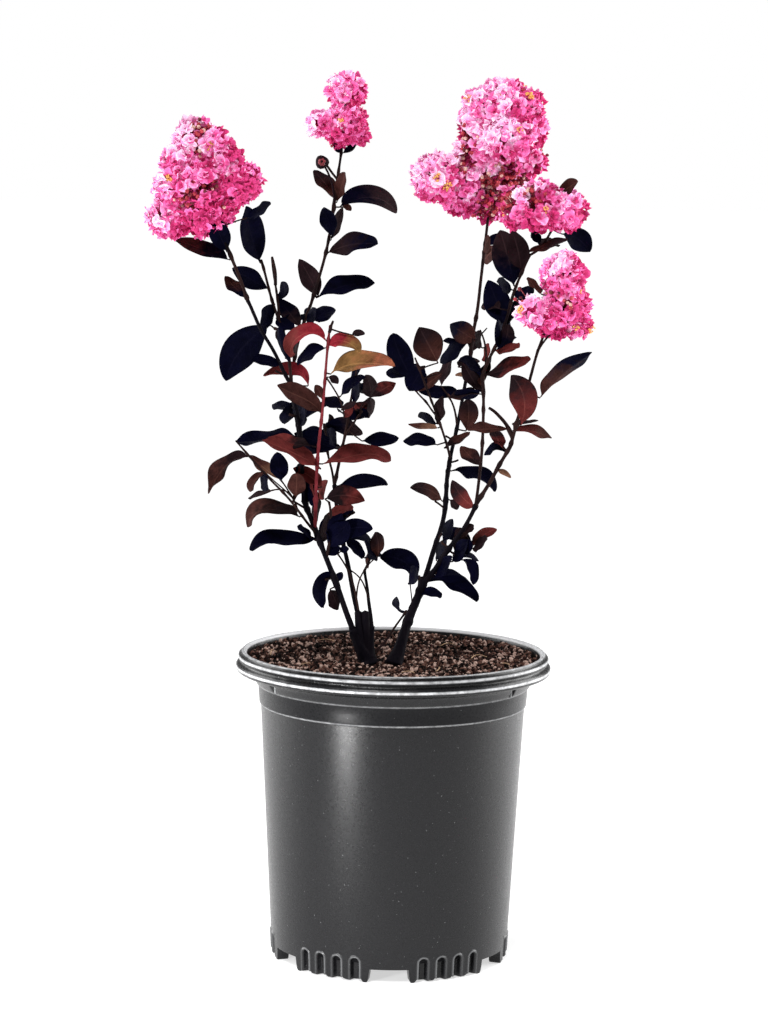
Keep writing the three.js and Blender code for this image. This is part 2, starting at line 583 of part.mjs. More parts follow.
// What is already placed: limbs as spheres along their axes, leaves as points, and blossom lobes.
class Space {
  constructor() {
    this.limbs = [];
    this.leaves = [];
    this.lobes = [];
  }

  addLimb(owner, limb) {
    const steps = Math.max(2, Math.ceil(limb.axis.v0.distanceTo(limb.axis.v2) / sphereStep));
    const spheres = [];
    for (let step = 0; step <= steps; step += 1) {
      spheres.push({ centre: limb.axis.getPoint(step / steps), radius: limb.radiusAt(step / steps) });
    }
    const box = new THREE.Box3().setFromPoints(spheres.map(({ centre }) => centre)).expandByScalar(6);
    this.limbs.push({ owner, spheres, box });
  }

  addLeaf(owner, points) {
    this.leaves.push({ owner, points, box: new THREE.Box3().setFromPoints(points).expandByScalar(4) });
  }

  addLobe(owner, centre, lobe) {
    this.lobes.push({ owner, centre, lobe });
  }

  // True where a leaf with these points stays inside the crown and touches nothing already placed.
  isFree(owner, base, points) {
    const box = new THREE.Box3().setFromPoints(points);
    if (!crown.containsBox(box)) return false;
    if (box.min.z < rimTop && points.some((point) => Math.hypot(point.x, point.y) > rimClear)) return false;
    const farOut = (reach) => points.filter((point) => point.distanceTo(base) > reach);
    const hitsLimb = this.limbs.some((limb) => {
      const own = limb.owner === owner;
      const gap = own ? ownClear.limb : otherClear.limb;
      return limb.box.intersectsBox(box) && (own ? farOut(ownClear.limbBeyond) : points).some((point) => (
        limb.spheres.some(({ centre, radius }) => point.distanceTo(centre) - radius < gap)));
    });
    if (hitsLimb) return false;
    const hitsLeaf = this.leaves.some((leaf) => {
      const own = leaf.owner === owner;
      const gap = own ? ownClear.leaf : otherClear.leaf;
      return leaf.box.intersectsBox(box) && (own ? farOut(ownClear.leafBeyond) : points).some((point) => (
        leaf.points.some((other) => point.distanceTo(other) < gap)));
    });
    if (hitsLeaf) return false;
    return !this.lobes.some(({ owner: grower, centre, lobe }) => (
      points.some((point) => insideLobe(point, centre, lobe, grower === owner ? -lobeOverlap : lobeClear))));
  }
}

// ---------------------------------------------------------------- growth

const swings = [0, 16, -16, 32, -32, 52, -52, 75];
const turnSpread = 36;
const liftSpread = 30;
const droopSpread = 40;
const usualDroop = 50;
const usualSpin = 90;
const usualEnd = 0.94;
const facingShare = 0.75;
const leafRoll = [28, 36];
const leafSize = [0.85, 0.3];
const nodeShrink = 0.2;
const twig = {
  turn: 137.5, sway: 40, lift: [35, 25], long: [0.7, 0.5], radii: [0.8, 0.6], nodes: 2, leafLift: 20,
};
const budStalkRadius = 0.9;

// A shoot's side twigs leave its stem one after another on a spiral.
function sideTwigs(row, stem) {
  const random = seeded(row.seed * 101);
  const twigs = [];
  for (let index = 0; index < (row.twigs ?? 0); index += 1) {
    const turn = row.turn + twig.turn * index + (random() - 0.5) * twig.sway;
    const lift = twig.lift[0] + twig.lift[1] * random();
    const long = row.leaf * (twig.long[0] + twig.long[1] * random());
    const foot = stem.axis.getPoint(0.5);
    const axis = makeAxis(foot, foot.clone().addScaledVector(heading(turn, lift), long), new THREE.Vector3());
    const radiusAt = (t) => twig.radii[0] + (twig.radii[1] - twig.radii[0]) * t;
    twigs.push({ limb: { axis, radiusAt, flare: 0 }, turn: turn + 90 });
  }
  return twigs;
}

// Leaves leave a stem at equal steps. Each tries a few swings to find room, and is left out without it.
function sproutLeaves(row, stem, { nodes, first, last, turn, lift }, random, space) {
  const leaves = [];
  for (let node = 0; node < nodes; node += 1) {
    const at = nodes > 1 ? first + ((last - first) * node) / (nodes - 1) : first;
    const base = stem.axis.getPoint(at);
    for (const side of row.solo ? [node % 2] : [0, 1]) {
      const [sway, rise, size, sag, facing, tilt] = Array.from({ length: 6 }, random);
      const aim = turn + (row.spin ?? usualSpin) * node + 180 * side + (sway - 0.5) * turnSpread;
      const climb = nodes > 1 ? ((row.rise ?? 0) * node) / (nodes - 1) : 0;
      const leaf = {
        base,
        lift: lift + climb + (rise - 0.5) * liftSpread,
        length: row.leaf * (leafSize[0] + leafSize[1] * size) * (1 - (nodeShrink * node) / nodes)
          * (side ? row.pair ?? 1 : 1),
        droop: (row.droop ?? usualDroop) + (sag - 0.5) * droopSpread,
      };
      for (const swing of swings) {
        leaf.turn = aim + swing;
        const away = Math.cos(radians(leaf.turn)) >= 0 ? 1 : -1;
        leaf.roll = (facing < facingShare ? 1 : -1) * away * (leafRoll[0] + leafRoll[1] * tilt);
        const points = leafPoints(leaf);
        if (space.isFree(row.name, base, points)) {
          space.addLeaf(row.name, points);
          leaves.push({ ...leaf });
          break;
        }
      }
    }
  }
  return leaves;
}

function growShoot(row, stem, twigs, space) {
  const random = seeded(row.seed);
  const first = row.first ?? usualEnd;
  const main = { nodes: row.nodes, first, last: row.last ?? usualEnd, turn: row.turn, lift: row.lift };
  const leaves = sproutLeaves(row, stem, main, random, space);
  for (const { limb, turn } of twigs) {
    const side = { nodes: twig.nodes, first: 0.5, last: usualEnd, turn, lift: twig.leafLift };
    leaves.push(...sproutLeaves(row, limb, side, random, space));
  }
  return leaves;
}

// ---------------------------------------------------------------- assembly

const rows = [...trunkRows, ...boughRows, ...shootRows];
const plant = new THREE.Group();

function place(name, solid, material) {
  const mesh = new THREE.Mesh(toGeometry(solid), material);
  mesh.name = name;
  plant.add(mesh);
}

const groundCut = toSolid(new THREE.BoxGeometry(60, 60, 20).translate(-9, -30, soilContact - 10));

// Cuts a new solid clear of the limbs that stand already, and keeps its main body.
function cutClear(solid, sheaths) {
  const box = solid.boundingBox();
  const meets = (other) => [0, 1, 2].every((side) => box.min[side] < other.max[side]
    && box.max[side] > other.min[side]);
  const near = sheaths.filter(({ bounds }) => meets(bounds));
  return mainBody(near.reduce((rest, { sheath }) => rest.subtract(sheath), solid));
}

function makePlant() {
  const limbs = new Map();
  const twigsOf = new Map();
  const budsOf = new Map();
  const space = new Space();
  for (const row of rows) {
    const limb = makeLimb(row, limbs);
    limbs.set(row.name, limb);
    space.addLimb(row.name, limb);
    for (const lobe of row.lobes ?? []) {
      space.addLobe(row.name, limb.axis.v2.clone().add(vector(lobe.slice(0, 3))), lobe);
    }
  }
  for (const row of shootRows) {
    const twigs = sideTwigs(row, limbs.get(row.name));
    twigsOf.set(row.name, twigs);
    for (const { limb } of twigs) space.addLimb(row.name, limb);
    if (row.bud) {
      const stalk = budLimb(row.bud, limbs.get(row.name));
      budsOf.set(row.name, stalk);
      space.addLimb(row.name, stalk);
      space.addLobe(row.name, stalk.axis.v2, [0, 0, 0, row.bud.radius, row.bud.radius]);
    }
  }

  const sheaths = [];
  const addSheath = (limb, sides) => {
    const sheath = limbSolid(limb, sides, clearance);
    sheaths.push({ sheath, bounds: sheath.boundingBox() });
  };
  const prongs = trunkRows.filter((row) => row.name.startsWith('prong'));
  const leftTrunk = joined(prongs.map((row) => limbSolid(limbs.get(row.name), limbSides)));
  place('trunk_left', mainBody(leftTrunk.subtract(groundCut)), finishes.bark);
  for (const row of trunkRows) addSheath(limbs.get(row.name), limbSides);
  const rightTrunk = limbSolid(limbs.get('trunk_right'), limbSides);
  place('trunk_right', mainBody(rightTrunk.subtract(groundCut)), finishes.bark);
  for (const row of boughRows) {
    place(row.name, cutClear(limbSolid(limbs.get(row.name), limbSides), sheaths), finishes.bark);
    addSheath(limbs.get(row.name), limbSides);
  }
  const tints = { dark: finishes.dark, brown: finishes.brown, red: finishes.red };
  for (const row of shootRows) {
    const stem = limbs.get(row.name);
    const twigs = twigsOf.get(row.name);
    const sides = row.way ? twigSides : stemSides;
    const parts = [limbSolid(stem, sides), ...twigs.map(({ limb }) => limbSolid(limb, twigSides))];
    parts.push(...growShoot(row, stem, twigs, space).map(leafSolid));
    if (row.lobes) parts.push(...clusterSolids(row, stem.axis.v2));
    if (row.bud) parts.push(...budSolids(row.bud, budsOf.get(row.name)));
    place(row.name, cutClear(joined(parts), sheaths), row.lobes ? finishes.blossom : tints[row.tint]);
    addSheath(stem, sides);
  }
}

place('pot', makePot(), finishes.pot);
place('soil', makeSoil(), finishes.soil);
makePlant();

export default plant;
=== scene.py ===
"""A potted crape myrtle in bloom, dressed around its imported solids.

The limbs, shoots and twigs grow again here by the rule of the solids, with the same seeds. The leaves and
blossom lobes that the photograph shows are placed over its pixels, on the nearest limb, and the rule's
leaves stay where those hide them. Flowers, buds and stalks cover the lobes. Places are in millimetres
until a mesh is made, +Z is up, and the origin is the centre of the pot's underside. Angles named turn are
degrees round +Z from +X, and angles named lift are degrees above level.
"""
import math
from itertools import product

import bpy
import numpy as np
from mathutils import Matrix


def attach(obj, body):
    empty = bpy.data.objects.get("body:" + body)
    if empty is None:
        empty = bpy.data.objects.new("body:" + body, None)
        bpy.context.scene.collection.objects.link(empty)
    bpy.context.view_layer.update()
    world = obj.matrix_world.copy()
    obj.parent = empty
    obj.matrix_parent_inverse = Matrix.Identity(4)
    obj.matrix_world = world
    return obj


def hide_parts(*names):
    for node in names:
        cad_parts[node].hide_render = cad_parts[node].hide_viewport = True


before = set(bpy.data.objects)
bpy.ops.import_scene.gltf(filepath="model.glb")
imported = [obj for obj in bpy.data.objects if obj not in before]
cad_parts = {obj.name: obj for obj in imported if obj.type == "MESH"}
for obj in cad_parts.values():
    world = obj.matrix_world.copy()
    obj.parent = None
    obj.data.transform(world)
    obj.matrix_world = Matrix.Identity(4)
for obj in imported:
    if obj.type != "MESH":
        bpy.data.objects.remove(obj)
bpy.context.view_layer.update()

MM = 0.001
UP = np.array([0.0, 0.0, 1.0])
PICTURE_WIDE, PICTURE_TALL = 768, 1024
CAMERA_PLACE = (-0.0085, -2.13, 0.5873)
CAMERA_PITCH = 0.1217
CAMERA_ROLL = 0.0155
CAMERA_LENS_PIXELS = 2956.5
CAMERA_SENSOR = 36.0
PIXEL_SIZE = -CAMERA_PLACE[1] / MM / CAMERA_LENS_PIXELS
# How far the crown reaches to the front and to the back.
CROWN_DEEP = 106.0


# ---------------------------------------------------------------- limbs, shoots and lobes of the source

TRUNKS = [
    dict(name="prong_left", foot=(-18, -31, 220), tip=(-29.5, -30, 245), radii=(5.5, 2.6), flare=3),
    dict(name="prong_second", foot=(-18, -31, 220), tip=(-24, -25, 249), radii=(5, 2.3), flare=3),
    dict(name="prong_third", foot=(-18, -31, 220), tip=(-16, -26, 247), radii=(4.5, 1.8), flare=3),
    dict(name="trunk_right", foot=(0.4, -30, 220), tip=(22, -8, 280), radii=(3.6, 2.6), flare=3.4),
]

BOUGHS = [
    dict(name="bough_left_lower", on="prong_left", tip=(-66, -37, 339), radii=(2.5, 2)),
    dict(name="bough_second", on="prong_second", tip=(-45, 15, 344), bow=(-2, 0, 0), radii=(2.2, 1.5)),
    dict(name="bough_third", on="prong_third", tip=(-22, -2, 284), radii=(1.7, 1.2)),
    dict(name="bough_left_middle", on="bough_left_lower", tip=(-76, -42, 421.5), bow=(2.5, 0, 0),
         radii=(1.9, 1.6)),
    dict(name="bough_left_upper", on="bough_left_middle", tip=(-107, -43, 481), radii=(1.6, 1.4)),
    dict(name="bough_middle_lower", on="bough_left_lower", at=0.93, tip=(-78, 25, 421.5), bow=(1, -8, 0),
         radii=(1.6, 1.4)),
    dict(name="bough_right_lower", on="trunk_right", tip=(38, 30, 355), bow=(3, 0, 0), radii=(2.3, 1.8)),
    dict(name="bough_right_middle", on="bough_right_lower", tip=(53.5, 50, 436), radii=(1.7, 1.5)),
    dict(name="bough_right_outer", on="trunk_right", at=0.93, tip=(57, -38, 337.5), bow=(2.5, 0, 0),
         radii=(2.1, 1.7)),
]

# What most shoots have in common. A row of the next table says what differs.
USUAL_SHOOT = dict(radii=(1, 0.8), nodes=1, turn=180, lift=20, tint="dark")
SHOOTS = [dict(USUAL_SHOOT, **row) for row in (
    dict(name="foliage_left_inner", on="bough_left_middle", at=0.97, tip=(-100.5, 20, 507), bow=(3, 0, 0),
         radii=(1.3, 1), nodes=3, first=0.45, leaf=36, spin=20, lift=25, rise=55, pair=0.8, seed=226),
    dict(name="foliage_left_large", on="foliage_left_inner", at=0.44, way=(190, 20), long=6, radii=(1, 0.9),
         solo=True, leaf=58, turn=188, lift=4, droop=85, seed=96),
    dict(name="foliage_left_foot", on="bough_left_lower", at=0.4, way=(215, -5), long=7, radii=(0.9, 0.7),
         leaf=25, turn=195, lift=-50, droop=35, seed=68),
    dict(name="foliage_left_low", on="bough_left_lower", at=0.68, way=(180, 25), long=9, solo=True, leaf=46,
         lift=12, droop=45, seed=2),
    dict(name="foliage_left_elbow", on="bough_left_lower", at=0.93, way=(185, 30), long=12, solo=True,
         leaf=42, lift=22, droop=75, tint="brown", seed=129),
    dict(name="foliage_far_left", on="bough_left_lower", at=0.74, tip=(-113, -70, 384), bow=(4, 0, -4),
         radii=(1.1, 0.7), nodes=3, first=0.5, last=0.9, leaf=34, turn=185, spin=14, lift=12, droop=80,
         tint="brown", seed=276),
    dict(name="foliage_left_bend", on="bough_left_middle", at=0.72, way=(190, 20), long=6, radii=(0.9, 0.8),
         leaf=25, turn=200, lift=5, seed=36),
    dict(name="foliage_left_knot", on="bough_left_middle", at=0.14, way=(215, 45), long=10, radii=(0.9, 0.7),
         leaf=24, turn=170, tint="brown", seed=12),
    dict(name="foliage_left_wing", on="bough_left_upper", at=0.12, way=(200, 20), long=8, radii=(0.9, 0.7),
         leaf=28, lift=0, seed=37),
    dict(name="blossom_left", on="bough_left_upper", tip=(-146, -42, 575), bow=(2, 0, -2), radii=(1.4, 1),
         nodes=2, first=0.03, last=0.36, leaf=36, spin=8, lift=25, droop=60, seed=175,
         lobes=[(0, 0, 17, 17, 17), (-5, 0, 0, 19, 17), (27, 0, -13, 21, 18), (-15, 0, -19, 17, 17),
         (-20, 0, -37, 15, 14), (8, 0, -34, 21, 17), (2, 18, -22, 19, 16), (4, -16, -24, 17, 15)]),
    dict(name="foliage_left_cluster", on="foliage_left_inner", at=0.5, tip=(-93, 28, 508), nodes=2,
         first=0.15, last=0.5, leaf=27, turn=30, lift=30, seed=266),
    dict(name="foliage_middle_stem", on="bough_middle_lower", tip=(-65, 50, 473), bow=(-2, 0, 0),
         radii=(1.4, 1.2), nodes=2, first=0.3, last=0.8, leaf=36, turn=-5, spin=20, lift=25, seed=207),
    dict(name="blossom_middle", on="foliage_middle_stem", tip=(-42, 80, 622), bow=(5, 0, 0), radii=(1.3, 0.9),
         nodes=4, first=0.07, last=0.66, leaf=46, turn=-10, spin=6, lift=30, droop=60, pair=0.6, seed=272,
         bud=dict(at=0.62, way=(180, 50), long=17, radius=6), lobes=[(0, 0, 9, 15, 13), (-1, 0, -16, 18, 15),
         (-18, -4, -15, 10, 10), (3, 10, -14, 14, 13)]),
    dict(name="foliage_young", on="bough_left_lower", at=0.78, tip=(-48, -74, 466), bow=(-1, -8, 0),
         radii=(1.4, 0.9), nodes=5, first=0.15, last=0.93, leaf=42, turn=0, spin=5, lift=14, droop=55,
         tint="red", seed=299),
    dict(name="foliage_second_low", on="bough_second", at=0.74, way=(0, 30), long=13, nodes=2, first=0.5,
         leaf=27, turn=-20, spin=70, lift=5, seed=7),
    dict(name="foliage_second_crest", on="bough_second", tip=(-32, 42, 416), radii=(1.4, 0.9), nodes=4,
         first=0.08, leaf=28, turn=0, spin=70, lift=25, twigs=1, seed=100),
    dict(name="foliage_second_side", on="bough_second", at=0.95, tip=(-54, 48, 386), nodes=2, first=0.6,
         leaf=30, turn=-10, spin=80, seed=147),
    dict(name="foliage_third", on="bough_third", tip=(-12, 14, 302), radii=(1.1, 0.7), nodes=2, first=0.5,
         leaf=22, turn=0, lift=-25, tint="brown", seed=31),
    dict(name="foliage_low_centre", on="prong_third", at=0.2, tip=(9, -8, 256), bow=(0, 2, -3),
         radii=(1.1, 0.8), solo=True, leaf=13, lift=60, seed=153),
    dict(name="foliage_right_foot", on="trunk_right", at=0.5, tip=(18, -3, 281), bow=(1, 0, -2),
         radii=(1.1, 0.8), solo=True, leaf=34, lift=42, droop=55, seed=130),
    dict(name="foliage_right_spur", on="bough_right_lower", at=0.35, way=(10, 50), long=6, radii=(0.9, 0.7),
         solo=True, leaf=22, turn=10, lift=50, droop=20, seed=193),
    dict(name="foliage_right_wing", on="bough_right_lower", at=0.65, way=(180, 35), long=8, radii=(0.9, 0.7),
         solo=True, leaf=23, lift=30, tint="brown", seed=209),
    dict(name="foliage_right_hand", on="bough_right_middle", at=0.06, way=(0, 20), long=7, radii=(0.9, 0.7),
         solo=True, leaf=33, turn=0, lift=15, seed=193),
    dict(name="foliage_right_front", on="bough_right_middle", at=0.1, tip=(12, -12, 440), bow=(4, -4, -6),
         radii=(1.1, 0.7), nodes=4, first=0.5, leaf=32, turn=150, spin=60, lift=40, twigs=1, seed=33),
    dict(name="foliage_right_small", on="bough_right_middle", at=0.26, way=(180, 30), long=7,
         radii=(0.9, 0.7), solo=True, leaf=28, lift=12, seed=186),
    dict(name="foliage_right_upper", on="bough_right_middle", tip=(62.3, 58, 515), radii=(1.5, 1.2), nodes=2,
         first=0.06, last=0.36, leaf=27, turn=160, spin=80, lift=30, tint="brown", seed=200),
    dict(name="blossom_right", on="foliage_right_upper", tip=(72, 60, 600), radii=(1.2, 1), first=0.06,
         leaf=20, turn=20, lift=40, tint="brown", seed=75, lobes=[(-8, 2, 21, 20, 18), (14, -3, 20, 18, 17),
         (6, -10, -4, 22, 18), (-43, -2, -34, 22, 20), (-24, 4, -38, 19, 19), (2, 6, -30, 25, 18),
         (-3, 0, -50, 10, 13), (4, 18, -12, 20, 18)]),
    dict(name="foliage_outer_foot", on="bough_right_outer", at=0.14, way=(0, 10), long=8, solo=True, leaf=42,
         turn=0, lift=2, droop=55, seed=278),
    dict(name="foliage_outer_low", on="bough_right_outer", at=0.55, way=(10, 35), long=16, nodes=2, first=0.5,
         leaf=24, turn=0, spin=90, tint="brown", seed=244),
    dict(name="foliage_outer_inner", on="bough_right_outer", at=0.45, way=(150, 30), long=8, radii=(0.9, 0.7),
         leaf=22, turn=120, seed=146),
    dict(name="foliage_outer_stem", on="bough_right_outer", tip=(80, -50, 381), radii=(1.7, 1.4), nodes=2,
         first=0.15, last=0.7, leaf=24, spin=90, lift=10, tint="brown", seed=129),
    dict(name="foliage_outer_high", on="foliage_outer_stem", tip=(98, -55, 450), radii=(1.4, 1.1), nodes=3,
         first=0.03, last=0.42, leaf=46, turn=0, spin=-5, lift=15, rise=50, droop=40, pair=0.85, tint="brown",
         seed=167),
    dict(name="blossom_outer", on="foliage_outer_high", tip=(113, -55, 492), radii=(1.1, 0.9), nodes=0,
         leaf=20, turn=0, tint="brown", seed=33, lobes=[(1, 0, 11, 17, 16), (4, 0, -14, 17, 18),
         (-18, -3, -16, 12, 10), (-3, 4, -25, 16, 9), (6, 12, -12, 14, 14)]),
    dict(name="foliage_centre_stem", on="bough_right_outer", at=0.98, tip=(60.5, -14, 428.5), bow=(3, 0, 0),
         radii=(1.3, 1.2), nodes=3, first=0.5, last=0.97, leaf=31, spin=100, tint="brown", seed=161),
    dict(name="foliage_centre_high", on="foliage_centre_stem", tip=(92, -24, 515), radii=(1.2, 1), nodes=4,
         first=0.1, last=0.85, leaf=34, turn=0, spin=80, lift=35, rise=15, seed=90),
    dict(name="blossom_low", on="foliage_centre_high", tip=(110, -24, 545), bow=(3, 0, -4), radii=(1, 0.9),
         first=0.3, leaf=23, turn=0, lift=5, tint="brown", seed=209, lobes=[(-13, 0, 5, 20, 18),
         (8, 0, 0, 15, 13), (-6, 12, 2, 14, 14)]),
    dict(name="foliage_back_left", on="bough_middle_lower", at=0.5, way=(100, 35), long=22, nodes=2,
         first=0.5, leaf=30, turn=60, seed=180),
    dict(name="foliage_back_right", on="bough_right_lower", at=0.85, way=(80, 40), long=22, nodes=2,
         first=0.5, leaf=30, turn=20, seed=105),
)]

